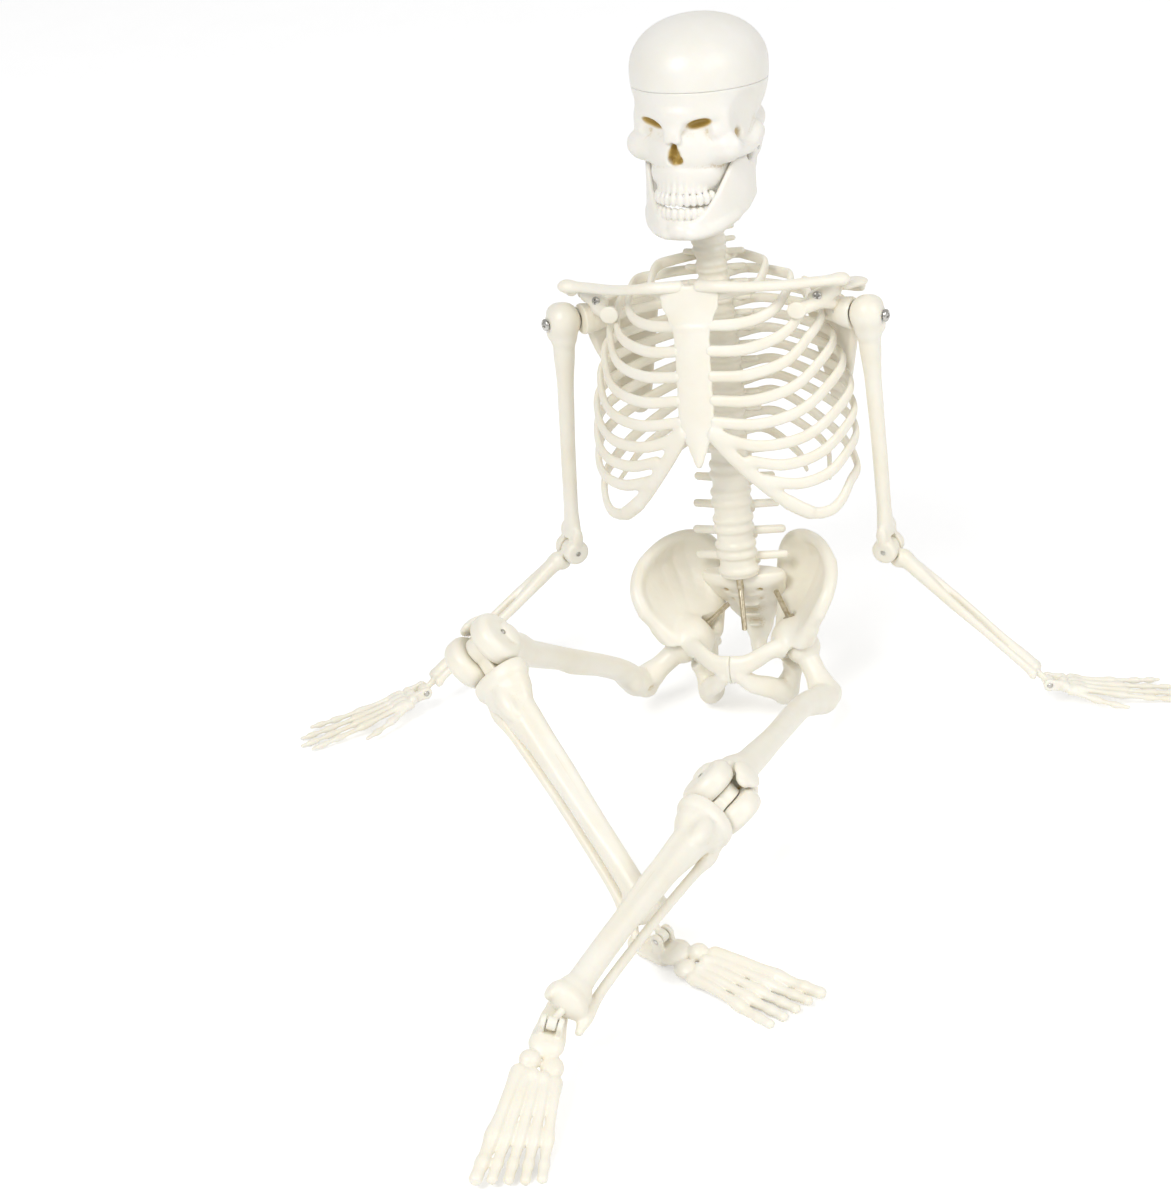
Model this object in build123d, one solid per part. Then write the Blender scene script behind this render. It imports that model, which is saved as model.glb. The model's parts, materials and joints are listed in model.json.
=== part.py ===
from build123d import *
from math import cos, sin, radians, pi
from copy import copy
import os

# Jointed 45 cm plastic skeleton, seated on a flat surface with its shins crossed.
# Millimetres.  +Z is up, -Y is where the chest looks, +X is the skeleton's own left.
# Every bone is drawn in its own frame: joint at the origin, bone hanging along -Z,
# front of the body towards -Y.  The chain of bones then puts each one in its place.

# ---- overall sizes ----------------------------------------------------------------
HUMERUS = 80.0            # shoulder to elbow
FOREARM = 65.7            # elbow to wrist
HAND = 44.0               # wrist to the tip of the middle finger
FEMUR = 113.4             # hip to knee
TIBIA = 99.6              # knee to ankle
FOOT = 51.0               # ankle to the tips of the toes
HIP_SPREAD = 39.6         # between the hip centres
SHOULDER_SPREAD = 97.4    # between the shoulder centres
SHOULDER_FORWARD = 5.1
SHOULDER_HEIGHT = 105.8   # above the hip centres, along the trunk

# ---- clearances and small hardware -------------------------------------------------
GAP = 0.3                 # between mouldings that move on each other
RUN = 0.06                # pin in a hole that turns on it
PIN_R = 0.8
STUD_R = 0.9              # hip studs and stand bolt
NUT_FLATS = 3.6
NUT_HIGH = 1.5
SCREW_R = 1.0
SCREW_HEAD_R = 1.95
SCREW_HEAD_HIGH = 1.3

# ---- trunk -------------------------------------------------------------------------
TRUNK_TURN = -17.0        # degrees about Z
TRUNK_BACK = 7.0          # leaning back
TRUNK_SIDE = -4.0         # leaning to the right
TRUNK_SEAT = Vector(-2.4, 45.0, 22.2)
SACRUM_TOP = 22.2
LUMBAR_PITCH = 8.6
THORACIC_PITCH = 5.05
CERVICAL_PITCH = 3.8
LUMBAR_COUNT = 5
THORACIC_COUNT = 12
CERVICAL_COUNT = 7
LUMBAR_R = 6.6
THORACIC_R = 5.0
CERVICAL_R = 4.4
RIB_THICK = 2.0
RIB_TALL = 3.7

# ---- head --------------------------------------------------------------------------
HEAD_TURN = -22.7
HEAD_BACK = 8.3
HEAD_SIDE = -2.2
NECK_GAP = 5.25            # top vertebra to the pivot of the head
SKULL_HALF_WIDE = 21.2
SKULL_HALF_LONG = 26.5
SKULL_HALF_HIGH = 22.9
SKULL_MID = Vector(0, 3.5, 18.5)
SKULL_WALL = 2.2
CAP_CUT = 20.7
JAW_X = 16.2
JAW_Z = 0.6
NECK_Y = 2.0              # the neck bolt's place, front to back in the head
FLOOR_Z = 0.3             # floor of the brain case round the bolt
NECK_BOLT = 15.0          # how deep the bolt goes into the neck

# ---- limb sizes --------------------------------------------------------------------
HUMERAL_HEAD_R = 5.6
FEMORAL_HEAD_R = 5.6
NECK_ANGLE = 66.0         # between the femur's shaft and the hip stud
NECK_TWIST = 10.0         # turns the stud forward about the shaft
CUP_R = 8.0
CONDYLE_R = 8.2
CONDYLE_WIDE = 18.6
KNEE_SLOT = 4.4
ELBOW_R = 4.0
ELBOW_WIDE = 9.6
ELBOW_SLOT = 3.2
EAR_R = 2.0               # wrist and ankle ears
EAR_THICK = 1.5
EAR_SLOT = 3.2
TAB_SIDE = 0.3            # play on each face of a tab

# ---- sitting pose: azimuth and elevation of each bone, degrees ----------------------
POSE = {
    "right": dict(upper_arm=(146.6, -86.5), forearm=(-154.2, -32.0), hand=(-157.2, -9.5),
                  thigh=(-122.8, 25.4), shin=(-54.2, -36.6), foot=(-40.0, 0.0)),
    "left": dict(upper_arm=(37.7, -87.2), forearm=(-23.5, -38.5), hand=(3.4, -10.5),
                 thigh=(-104.0, 5.9), shin=(-119.1, -8.1), foot=(-104.2, -14.5)),
}
BACK_OF_HAND = {"right": Vector(0, 0, 1), "left": Vector(0, 0, 1)}
TOP_OF_FOOT = {"right": Vector(-0.11, -0.16, 0.98), "left": Vector(0.2, -0.4, 0.9)}
SIDES = {"right": -1, "left": 1}


# =====================================================================================
# helpers
# =====================================================================================
def direction(azimuth, elevation):
    a, e = radians(azimuth), radians(elevation)
    return Vector(cos(a) * cos(e), sin(a) * cos(e), sin(e))


def bone_plane(origin, along, side):
    """Frame of a bone that runs from origin along a direction, with its X near side."""
    z = along.normalized() * -1
    x = (side - z * side.dot(z)).normalized()
    return Plane(origin=origin, x_dir=x, z_dir=z)


def facets(half_x, half_y, sides):
    """Flat-sided oval, cheap where dozens of small mouldings repeat."""
    turns = [2 * pi * (k + 0.5) / sides for k in range(sides)]
    return Polygon(*[(half_x * cos(a), half_y * sin(a)) for a in turns], align=None)


def oval(centre, along, across, half_across, half_other, sides):
    """Flat-sided oval square to along; half_across is measured along across."""
    along = Vector(along).normalized()
    across = Vector(across)
    x = (across - along * across.dot(along)).normalized()
    return Plane(origin=centre, x_dir=x, z_dir=along) * facets(half_across, half_other, sides)


def shaft(stations, sides=10):
    """Ruled loft of level ovals: stations are (z, x, y, half_x, half_y)."""
    return loft([Pos(x, y, z) * facets(rx, ry, sides) for z, x, y, rx, ry in stations], ruled=True)


def ball(centre, radius):
    return Pos(*centre) * Sphere(radius)


def egg(centre, rx, ry, rz, sides=10, levels=6):
    """Flat-sided ellipsoid: level ovals from one end to the other along Z."""
    x, y, z = centre
    rings = []
    for k in range(levels + 1):
        a = radians(EGG_END) * (2 * k / levels - 1)
        rings.append(Pos(x, y, z + rz * sin(a)) * facets(rx * cos(a), ry * cos(a), sides))
    return loft(rings, ruled=True)


EGG_END = 84.0            # latitude of an egg's flat ends, degrees


def rod(start, end, radius, end_radius=None):
    """Round bar or cone from start to end."""
    start, end = Vector(start), Vector(end)
    seat = Plane(origin=start, z_dir=end - start)
    length = (end - start).length
    if end_radius is None or abs(end_radius - radius) < 1e-6:
        return seat * Cylinder(radius, length, align=(Align.CENTER, Align.CENTER, Align.MIN))
    return seat * Cone(radius, end_radius, length, align=(Align.CENTER, Align.CENTER, Align.MIN))


def wheel(centre, radius, width, rim=0.0):
    """Disc with its axle along X; rim rounds both edges."""
    disc = Rot(0, 90, 0) * Cylinder(radius, width)
    if rim:
        disc = chamfer(disc.edges().filter_by(GeomType.CIRCLE), rim)
    return Pos(*centre) * disc


def tube_along(points, sizes, up=Vector(0, 0, 1), stops=8, sides=8):
    """Loft of ovals along a smooth line; sizes run from the first to the last oval."""
    line = Spline(*points)
    rings = []
    for k in range(stops + 1):
        u = k / stops
        at = min(int(u * (len(sizes) - 1)), len(sizes) - 2)
        mix = u * (len(sizes) - 1) - at
        wide = sizes[at][0] * (1 - mix) + sizes[at + 1][0] * mix
        tall = sizes[at][1] * (1 - mix) + sizes[at + 1][1] * mix
        rings.append(oval(line @ u, line % u, up, tall, wide, sides))
    made = loft(rings, ruled=True)
    return made if made.volume > 0 else loft(rings[::-1], ruled=True)


def fused(pieces):
    body = pieces[0]
    for piece in pieces[1:]:
        body = body + piece
    return body


def grouped(pieces):
    """Separate solids that share one node."""
    return Compound(children=[solid for piece in pieces for solid in piece.solids()])


def mirrored(solid, sign):
    """Bones are drawn for the left side and mirrored for the right."""
    return solid if sign > 0 else mirror(solid, about=Plane.YZ)


def hex_nut(start, along, hole):
    seat = Plane(origin=start, z_dir=Vector(along))
    blank = extrude(RegularPolygon(NUT_FLATS / 2, 6, major_radius=False) - Circle(hole), NUT_HIGH)
    return seat * blank


# =====================================================================================
# the chain of joints
# =====================================================================================
TRUNK = Location(TRUNK_SEAT) * Rot(0, 0, TRUNK_TURN) * Rot(-TRUNK_BACK, 0, 0) * Rot(0, TRUNK_SIDE, 0)


def in_trunk(point):
    return (TRUNK * Location(Vector(point))).position


def turned(location, vector):
    return (location * Location(Vector(vector))).position - location.position


class Limbs:
    """Joint centres, bone frames and hinge axes of one side."""

    def __init__(self, side):
        self.sign = SIDES[side]
        way = {bone: direction(*angles) for bone, angles in POSE[side].items()}
        self.shoulder = in_trunk((self.sign * SHOULDER_SPREAD / 2, SHOULDER_FORWARD, SHOULDER_HEIGHT))
        self.elbow = self.shoulder + way["upper_arm"] * HUMERUS
        self.wrist = self.elbow + way["forearm"] * FOREARM
        self.hip = in_trunk((self.sign * HIP_SPREAD / 2, 0, 0))
        self.knee = self.hip + way["thigh"] * FEMUR
        self.ankle = self.knee + way["shin"] * TIBIA
        elbow_axis = way["forearm"].cross(way["upper_arm"]).normalized()
        knee_axis = way["thigh"].cross(way["shin"]).normalized()
        wrist_axis = way["hand"].cross(BACK_OF_HAND[side]).normalized()
        foot_way = way["foot"]
        ankle_axis = TOP_OF_FOOT[side].cross(foot_way).normalized()
        self.humerus = bone_plane(self.shoulder, way["upper_arm"], elbow_axis)
        self.forearm = bone_plane(self.elbow, way["forearm"], elbow_axis)
        self.hand = bone_plane(self.wrist, way["hand"], wrist_axis)
        self.femur = bone_plane(self.hip, way["thigh"], knee_axis)
        self.shin = bone_plane(self.knee, way["shin"], knee_axis)
        self.foot = Plane(origin=self.ankle, x_dir=ankle_axis, z_dir=foot_way.cross(ankle_axis))
        self.screw_way = self.humerus.y_dir * -1
        a, t = radians(NECK_ANGLE), radians(NECK_TWIST)
        neck = Vector(self.sign * sin(a) * cos(t), sin(a) * sin(t), -cos(a))
        self.stud_way = turned(self.femur.location, neck)


LIMBS = {side: Limbs(side) for side in SIDES}


# =====================================================================================
# trunk, drawn in the trunk's frame
# =====================================================================================
LUMBAR_TOP = SACRUM_TOP + LUMBAR_COUNT * LUMBAR_PITCH
THORACIC_TOP = LUMBAR_TOP + THORACIC_COUNT * THORACIC_PITCH
CERVICAL_TOP = THORACIC_TOP + CERVICAL_COUNT * CERVICAL_PITCH
HEAD_PIVOT = Vector(0.5, 9.6, CERVICAL_TOP + NECK_GAP)


def spine_y(z):
    """Front-to-back curve of the column: hollow loins, rounded chest, hollow neck."""
    u = (z - SACRUM_TOP) / (CERVICAL_TOP - SACRUM_TOP)
    return 5.0 + 4.6 * u + 4.4 * sin(2 * pi * (u - 0.28)) * sin(pi * u)


REGIONS = (
    # count, pitch, foot of the region, radii, reach of the side wings, reach of the spine, thickness, sides
    (LUMBAR_COUNT, LUMBAR_PITCH, SACRUM_TOP, LUMBAR_R, LUMBAR_R, 14.5, 11.0, 1.7, 8),
    (THORACIC_COUNT, THORACIC_PITCH, LUMBAR_TOP, LUMBAR_R * 0.93, THORACIC_R, 10.0, 11.5, 1.0, 6),
    (CERVICAL_COUNT, CERVICAL_PITCH, THORACIC_TOP, THORACIC_R * 0.94, CERVICAL_R, 7.4, 9.0, 0.9, 6),
)
WING_RISE = 0.485         # share of the pitch that a side wing stands above mid height


def vertebra(base, pitch, radius, reach, spine_reach, thick, sides):
    """Waisted drum with two side wings and the spine that hangs behind it."""
    drum = loft([
        Pos(0, spine_y(base + share * pitch), base + share * pitch) * facets(radius * swell, radius * 0.86 * swell, sides)
        for share, swell in ((0.0, 1.04), (0.5, 0.84), (1.0, 1.04))
    ], ruled=True)
    mid = base + 0.5 * pitch
    y = spine_y(mid)
    wing_z = mid + WING_RISE * pitch - thick * 0.5
    wing = loft([
        Plane(origin=(radius * 0.4, y + radius * 0.62, wing_z), z_dir=(1, 0.25, 0)) * Rectangle(thick, thick * 2.4),
        Plane(origin=(reach, y + radius + 1.0, wing_z + 0.1), z_dir=(1, 0.25, 0)) * Rectangle(thick * 0.8, thick * 1.4),
    ], ruled=True)
    spine = loft([
        Plane(origin=(0, y + radius * 0.5, mid), x_dir=(1, 0, 0), z_dir=(0, 1, -0.2)) * Rectangle(thick * 1.8, pitch * 0.62),
        Plane(origin=(0, y + spine_reach, mid - 0.5 * pitch), x_dir=(1, 0, 0), z_dir=(0, 1, -0.4)) * Rectangle(1.3, pitch * 0.4),
    ], ruled=True)
    return drum.fuse(wing, mirror(wing, about=Plane.YZ), spine)


def vertebral_column():
    """Twenty-four vertebrae from the loins up, before they become one moulding."""
    stack = []
    for count, pitch, base, low_r, high_r, reach, spine_reach, thick, sides in REGIONS:
        for k in range(count):
            radius = low_r + (high_r - low_r) * k / count
            stack.append(vertebra(base + k * pitch, pitch, radius, reach, spine_reach, thick, sides))
    return stack


def sternum_y(z):
    return -16.0 - 8.0 * (120.0 - z) / 53.0


def sternum():
    """Manubrium, body and xiphoid tip in one flat moulding."""
    outline = (
        (121.0, 6.2), (118.0, 8.0), (112.0, 5.6), (108.5, 4.9), (100.0, 5.2),
        (88.0, 6.0), (80.0, 5.4), (76.0, 3.2), (70.0, 2.2), (66.5, 1.0),
    )
    rings = [Pos(0, sternum_y(z), z) * facets(w * 1.06, 1.6, 8) for z, w in outline]
    return loft(rings, ruled=True)


# half width, height at the side below the spine end, front corner (share of width, y, z), inner end (x, z)
RIBS = (
    (17.5, 3.0, (0.72, -8.0, 118.0), (7.2, 117.5)),
    (25.0, 5.0, (0.70, -12.0, 109.5), (5.0, 109.5)),
    (31.0, 7.0, (0.68, -14.5, 100.5), (4.9, 102.5)),
    (35.0, 9.0, (0.66, -17.0, 92.0), (5.1, 96.0)),
    (38.0, 11.0, (0.64, -19.0, 83.5), (5.5, 90.5)),
    (40.0, 13.0, (0.62, -20.0, 75.0), (5.8, 85.0)),
    (41.5, 15.0, (0.60, -20.5, 66.5), (5.2, 79.5)),
    (42.4, 16.5, (0.66, -18.5, 58.5), (15.5, 67.5)),
    (42.2, 18.0, (0.76, -14.0, 51.5), (23.5, 58.5)),
    (40.0, 19.0, (0.86, -7.5, 46.5), (30.0, 50.5)),
)
FLOATING_RIBS = ((34.0, 17.0, -1.0), (24.0, 12.5, 9.0))


def rib_level(number):
    return THORACIC_TOP - (number - 0.5) * THORACIC_PITCH


def rib_tube(points, tall, thick):
    sizes = ((thick * 0.9, tall * 0.72), (thick, tall), (thick, tall), (thick * 0.9, tall))
    return tube_along(points, sizes, stops=8, sides=5)


def ribs():
    """Ten ribs that reach the front, left side."""
    joined = []
    for k, (half, fall, (share, front_y, front_z), (end_x, end_z)) in enumerate(RIBS):
        z = rib_level(k + 1)
        y = spine_y(z)
        back = y + 7.0 + 4.0 * half / 42.0
        end_y = sternum_y(end_z) if k < 7 else front_y - 1.2
        points = (
            (4.0, y + 2.0, z), (0.34 * half, back, z - 0.5), (0.80 * half, back - 5.0, z - 0.45 * fall),
            (half, 0.35 * (back + front_y) + 1.0, z - fall), (share * half + 4.0, front_y + 3.5, front_z + 1.5),
            (share * half - 5.0, front_y - 1.0, front_z + 1.6), (end_x, end_y, end_z),
        )
        joined.append(rib_tube(points, RIB_TALL / 2, RIB_THICK / 2))
    return joined


def floating_ribs():
    """The two lowest ribs, which end in the flank."""
    made = []
    for k, (half, fall, end_y) in enumerate(FLOATING_RIBS):
        z = rib_level(len(RIBS) + 1 + k)
        y = spine_y(z)
        points = ((4.0, y + 1.5, z), (0.4 * half, y + 9.5, z - 1.5), (0.85 * half, y + 4.5, z - 0.6 * fall),
                  (half, end_y, z - fall))
        made.append(rib_tube(points, RIB_TALL * 0.46, RIB_THICK / 2))
    return made


def sacrum():
    """Wedge with five fused bodies that ends in the tail bone."""
    body = shaft((
        (22.2, 0, 9.0, 14.0, 6.0), (17.0, 0, 13.0, 12.6, 5.6), (9.0, 0, 18.0, 9.0, 4.2),
        (1.0, 0, 20.0, 5.2, 2.8), (-5.0, 0, 18.0, 2.8, 2.0), (-10.0, 0, 14.2, 1.4, 1.2),
    ))
    crest = [Pos(0, 17.5 + 1.2 * k, 17.0 - 4.4 * k) * Box(1.8, 4.6 - 0.5 * k, 2.8) for k in range(3)]
    return fused([body] + crest)


def hip_bone(stud_way):
    """Left hip bone: flared wing, cup for the thigh, and the ring of the pubis and seat bone."""
    x0 = HIP_SPREAD / 2
    wing = loft([blade(*level) for level in WING], ruled=True)
    pubis = tube_along(((x0 - 4.0, -3.0, 3.0), (11.0, -9.5, 2.0), (2.4, -14.0, -2.4)),
                       ((3.4, 3.6), (2.2, 2.9), (2.2, 5.0)), stops=4)
    ramus = tube_along(((2.6, -13.8, -5.0), (6.0, -9.6, -11.4), (10.6, -0.6, -16.0)),
                       ((2.6, 2.4), (2.4, 2.6), (4.4, 3.2)), up=Vector(1, 0, 0), stops=4)
    seat = tube_along(((10.8, 3.4, -16.0), (14.5, 4.6, -9.0), (x0 - 4.0, 3.0, -2.0)),
                      ((4.8, 4.0), (4.4, 3.6), (4.8, 4.6)), up=Vector(1, 0, 0), stops=4)
    heel = egg((10.8, 4.0, -16.6), 4.6, 5.8, 4.4)
    cup = ball((x0 - 2.6, 1.2, 1.4), CUP_R)
    bone = fused([cup, wing, pubis, ramus, seat, heel])
    centre = Vector(x0, 0, 0)
    bone = bone - ball(centre, FEMORAL_HEAD_R + GAP)
    bone = bone - rod(centre, centre + stud_way * 30, FEMORAL_HEAD_R + 1.6, 24.0)
    bone = bone - rod(centre - stud_way * 30, centre, STUD_R + RUN)
    bone = bone - rod(centre - stud_way * 30, centre - stud_way * NUT_FACE, NUT_FLATS * 0.75)
    keep = Pos(25.05, 0, 0) * Box(50, 120, 120)
    return bone & keep


NUT_FACE = 9.2            # from the hip centre to the flat under the inner nut
STUD_TIP = 20.0           # from the hip centre to the stud's free end


# level strips of the wing: height, thickness, back edge, hollow and front edge (x, y)
WING = (
    (4.0, 6.4, (13.5, 9.0), (18.0, 2.0), (20.8, -4.0)),
    (9.0, 4.6, (12.6, 13.0), (19.5, 6.0), (25.4, -5.6)),
    (13.0, 3.2, (12.0, 16.0), (22.0, 8.6), (28.3, -8.6)),
    (20.0, 2.4, (11.8, 20.0), (26.0, 10.0), (31.2, -5.0)),
    (26.0, 2.4, (12.5, 21.5), (26.8, 12.0), (31.8, 0.4)),
    (30.5, 2.6, (14.5, 20.5), (24.5, 13.4), (29.4, 5.6)),
    (33.8, 2.2, (17.0, 17.8), (20.4, 15.2), (23.6, 11.6)),
)


def blade(z, thick, back, middle, front):
    """Level strip of the wing at height z, a bent band of even thickness."""
    line = ThreePointArc(back, middle, front)
    stops = [k / 4 for k in range(5)]
    out = [Vector(0, 0, 1).cross(line % u) * (thick / 2) for u in stops]
    edge = [line @ u + way for u, way in zip(stops, out)] + [line @ u - way for u, way in zip(stops, out)][::-1]
    return Pos(0, 0, z) * Polygon(*[(p.X, p.Y) for p in edge], align=None)


def scapula(socket_way):
    """Left shoulder blade: plate, spine with its outer end, beak, and the shallow socket."""
    x0, y0, z0 = SHOULDER_SPREAD / 2, SHOULDER_FORWARD, SHOULDER_HEIGHT
    plate_seat = Plane(origin=(x0 - 9.0, y0 + 8.5, z0 - 2.0), x_dir=(-0.80, 0.60, 0.05), z_dir=(0.60, 0.80, 0.12))
    outline = Polygon((-4, 4), (6, 10), (19, 11), (20, 6), (13, -32), (9, -34), (6, -29), (-3, -5), align=None)
    plate = plate_seat * extrude(outline, 0.9, both=True)
    ridge = plate_seat * loft([
        Plane(origin=(x, y, z), x_dir=(0, 1, 0), z_dir=(-1, 0, 0)) * Rectangle(wide, tall)
        for x, y, z, wide, tall in ((18.5, 5.0, 0.6, 1.2, 1.8), (5.0, 7.0, 2.2, 1.5, 4.4), (-3.0, 8.5, 3.6, 2.4, 4.4))
    ], ruled=True)
    crown = tube_along(((x0 - 6.5, y0 + 8.5, z0 + 8.0), (x0 - 2.8, y0 + 3.5, z0 + 9.4), (x0 - 5.0, y0 - 3.0, z0 + 9.6)),
                       ((3.0, 1.5), (3.0, 1.3), (1.6, 1.2)), stops=4, sides=6)
    neck = rod((x0 - 13.5, y0 + 7.0, z0 - 0.5), (x0 - 5.2, y0 + 1.8, z0), 3.4, 5.0)
    beak = tube_along(((x0 - 12.0, y0 + 3.5, z0 + 4.0), (x0 - 12.5, y0 - 3.5, z0 + 6.0), (x0 - 8.6, y0 - 8.6, z0 + 3.0)),
                      ((2.4, 2.4), (1.9, 1.9), (1.5, 1.5)), stops=4)
    bone = fused([plate, ridge, crown, neck, beak])
    centre = Vector(x0, y0, z0)
    sweep = rod(centre - socket_way * ARM_HALF, centre + socket_way * ARM_HALF, ARM_SWEEP)
    bone = bone - ball(centre, HUMERAL_HEAD_R + GAP) - sweep
    return bone - rod(centre - socket_way * SCREW_LONG, centre, SCREW_R)


SCREW_LONG = 11.0         # from the shoulder centre to the screw's point
ARM_HALF = 4.9            # half thickness of the room that the turning arm needs
ARM_SWEEP = 7.4           # and its radius about the screw


def clavicle():
    x0 = SHOULDER_SPREAD / 2
    return tube_along(
        ((6.4, -15.5, 122.4), (16.0, -17.5, 121.4), (27.0, -11.0, 119.4), (36.0, -4.6, 118.8), (x0 - 5.0, -2.0, 118.6)),
        ((2.4, 2.3), (1.8, 1.8), (1.8, 1.7), (2.6, 1.6)), stops=7)


# =====================================================================================
# head, drawn in the head's frame: pivot over the top vertebra
# =====================================================================================
def vault(grow=0.0):
    half = (SKULL_HALF_WIDE + grow, SKULL_HALF_LONG + grow, SKULL_HALF_HIGH + grow)
    return egg(SKULL_MID, *half, sides=20, levels=8)


def cranium():
    """Lower brain case with the face, the cheek arches and the upper teeth."""
    case = vault() & Pos(0, 0, CAP_CUT - 50) * Box(100, 100, 100)
    face = shaft((
        (17.0, 0, -11.5, 17.6, 11.4), (9.0, 0, -12.5, 17.8, 11.0), (3.0, 0, -12.0, 14.6, 10.6),
        (-4.0, 0, -13.8, 10.4, 8.8), (-9.6, 0, -14.0, 9.4, 8.2),
    ))
    brow = tube_along(((16.8, -15.5, 13.0), (9.0, -22.0, 15.4), (0, -22.8, 14.0), (-9.0, -22.0, 15.4), (-16.8, -15.5, 13.0)),
                      ((1.6, 1.5), (1.5, 1.9), (1.6, 1.5)), stops=6, sides=6)
    arch = tube_along(((13.0, -18.0, 2.0), (18.4, -12.0, 3.4), (19.6, -4.0, 3.8), (17.4, 3.5, 5.4)),
                      ((1.9, 2.9), (1.2, 1.7), (1.5, 1.9)), stops=5, sides=6)
    root = rod((11.0, 2.0, 6.0), (17.6, 2.0, 5.0), 3.4, 2.4)
    bump = rod((15.0, 9.0, 4.0), (14.0, 7.5, -5.5), 3.4, 1.4)
    base = rod((0, NECK_Y, FLOOR_Z - 4.0), (0, NECK_Y, FLOOR_Z), 7.6)
    nose = loft([oval((0, -22.0, 11.5), (0, -0.6, -1), (1, 0, 0), 1.8, 1.6, 8),
                 oval((0, -24.0, 6.5), (0, -0.4, -1), (1, 0, 0), 2.3, 1.6, 8)], ruled=True)
    pieces = [case, face, brow, nose, base]
    for piece in (arch, root, bump):
        pieces += [piece, mirror(piece, about=Plane.YZ)]
    skull = fused(pieces)
    hollow = vault(-SKULL_WALL) & Pos(0, 0, FLOOR_Z + 50) * Box(100, 100, 100)
    skull = skull - hollow
    socket = Plane(origin=(8.6, -23.4, 8.6), z_dir=(-0.28, 1, -0.05)) * egg((0, 0, 0), 5.9, 5.1, 10.5, 12)
    pear = Plane(origin=(0, -22.6, 0.6), z_dir=(0, 1, 0)) * extrude(
        make_face(Polyline((0, 5.2), (2.6, -1.8), (2.2, -3.4), (-2.2, -3.4), (-2.6, -1.8), (0, 5.2))), 5, both=True)
    cheek = egg((13.4, -20.5, -4.6), 4.2, 5.6, 5.2)
    temple = egg((20.2, -9.0, 9.0), 3.2, 6.6, 6.0)
    palate = egg((0, -9.0, -10.6), 5.8, 8.0, 4.0)
    for cut in (socket, cheek, temple):
        skull = skull - cut - mirror(cut, about=Plane.YZ)
    skull = skull - pear - palate
    skull = skull - rod((0, NECK_Y, -20), (0, NECK_Y, 8), STUD_R + RUN)
    for sign in (-1, 1):
        skull = skull - wheel((sign * JAW_X, 1.2, JAW_Z), 2.3 + GAP, 5.4)
        skull = skull - rod((sign * 11.2, 1.2, JAW_Z), (sign * 25.0, 1.2, JAW_Z), JAW_PIN_R)
    return skull + teeth(-9.4, -13.0, 9.0, 9.2, -12.6)


JAW_PIN_R = 0.7
TEETH = 12                # in each row
TOOTH_STEP = 13.0         # degrees round the row


def teeth(root_z, edge_z, half_wide, deep, centre_y):
    """Row of teeth round the front half of an ellipse."""
    row = []
    for k in range(TEETH):
        turn = (k - (TEETH - 1) / 2) * TOOTH_STEP
        a = radians(turn - 90)
        at = Vector(half_wide * cos(a), centre_y + deep * sin(a))
        seat = Location((at.X, at.Y, 0), (0, 0, turn))
        crown = loft([
            Pos(0, 0, root_z) * Rectangle(1.5, 2.4),
            Pos(0, 0, edge_z) * Rectangle(1.75, 1.5),
        ])
        row.append(seat * crown)
    return row


def skull_cap():
    """Removable roof of the brain case, an even shell."""
    keep = Pos(0, 0, CAP_CUT + 50) * Box(100, 100, 100)
    return (vault() - vault(-SKULL_WALL)) & keep


def mandible():
    arch = tube_along(
        ((14.6, -5.5, -13.6), (11.8, -13.0, -16.6), (7.0, -19.2, -18.8), (0, -21.2, -19.4),
         (-7.0, -19.2, -18.8), (-11.8, -13.0, -16.6), (-14.6, -5.5, -13.6)),
        ((1.8, 4.4), (2.0, 3.5), (2.3, 3.7), (2.0, 3.5), (1.8, 4.4)), stops=10, sides=6)
    ramus = shaft((
        (-15.0, 14.8, -3.8, 1.7, 4.6), (-5.5, 15.8, -1.4, 1.5, 4.2), (JAW_Z, JAW_X, 1.2, 1.9, 1.9),
    ), 8)
    horn = shaft(((-6.5, 15.8, -3.4, 1.1, 2.0), (-1.2, 15.6, -6.6, 0.8, 0.8)), 6)
    knob = wheel((JAW_X, 1.2, JAW_Z), 2.2, 4.6)
    side = fused([ramus, horn, knob])
    jaw = fused([arch, side, mirror(side, about=Plane.YZ)])
    jaw = jaw + teeth(-16.6, -13.3, 8.4, 8.6, -12.4)
    for sign in (-1, 1):
        jaw = jaw - rod((sign * 10, 1.2, JAW_Z), (sign * 25, 1.2, JAW_Z), JAW_PIN_R + RUN)
    return jaw


def jaw_pin():
    shank = rod((11.2, 1.2, JAW_Z), (JAW_X + 3.0, 1.2, JAW_Z), JAW_PIN_R)
    return shank + rod((JAW_X + 2.6, 1.2, JAW_Z), (JAW_X + 3.2, 1.2, JAW_Z), 1.4)


# =====================================================================================
# limbs, drawn for the left side in each bone's own frame
# =====================================================================================
def fork(width, radius, slot, rise, rim):
    """Knuckle with a central slot; the axle runs along X through the origin."""
    knuckle = wheel((0, 0, 0), radius, width, rim)
    gap_box = Pos(0, 0, (rise - radius - 1) / 2) * Box(slot, 4 * radius, rise + radius + 1)
    return knuckle, gap_box


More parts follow.
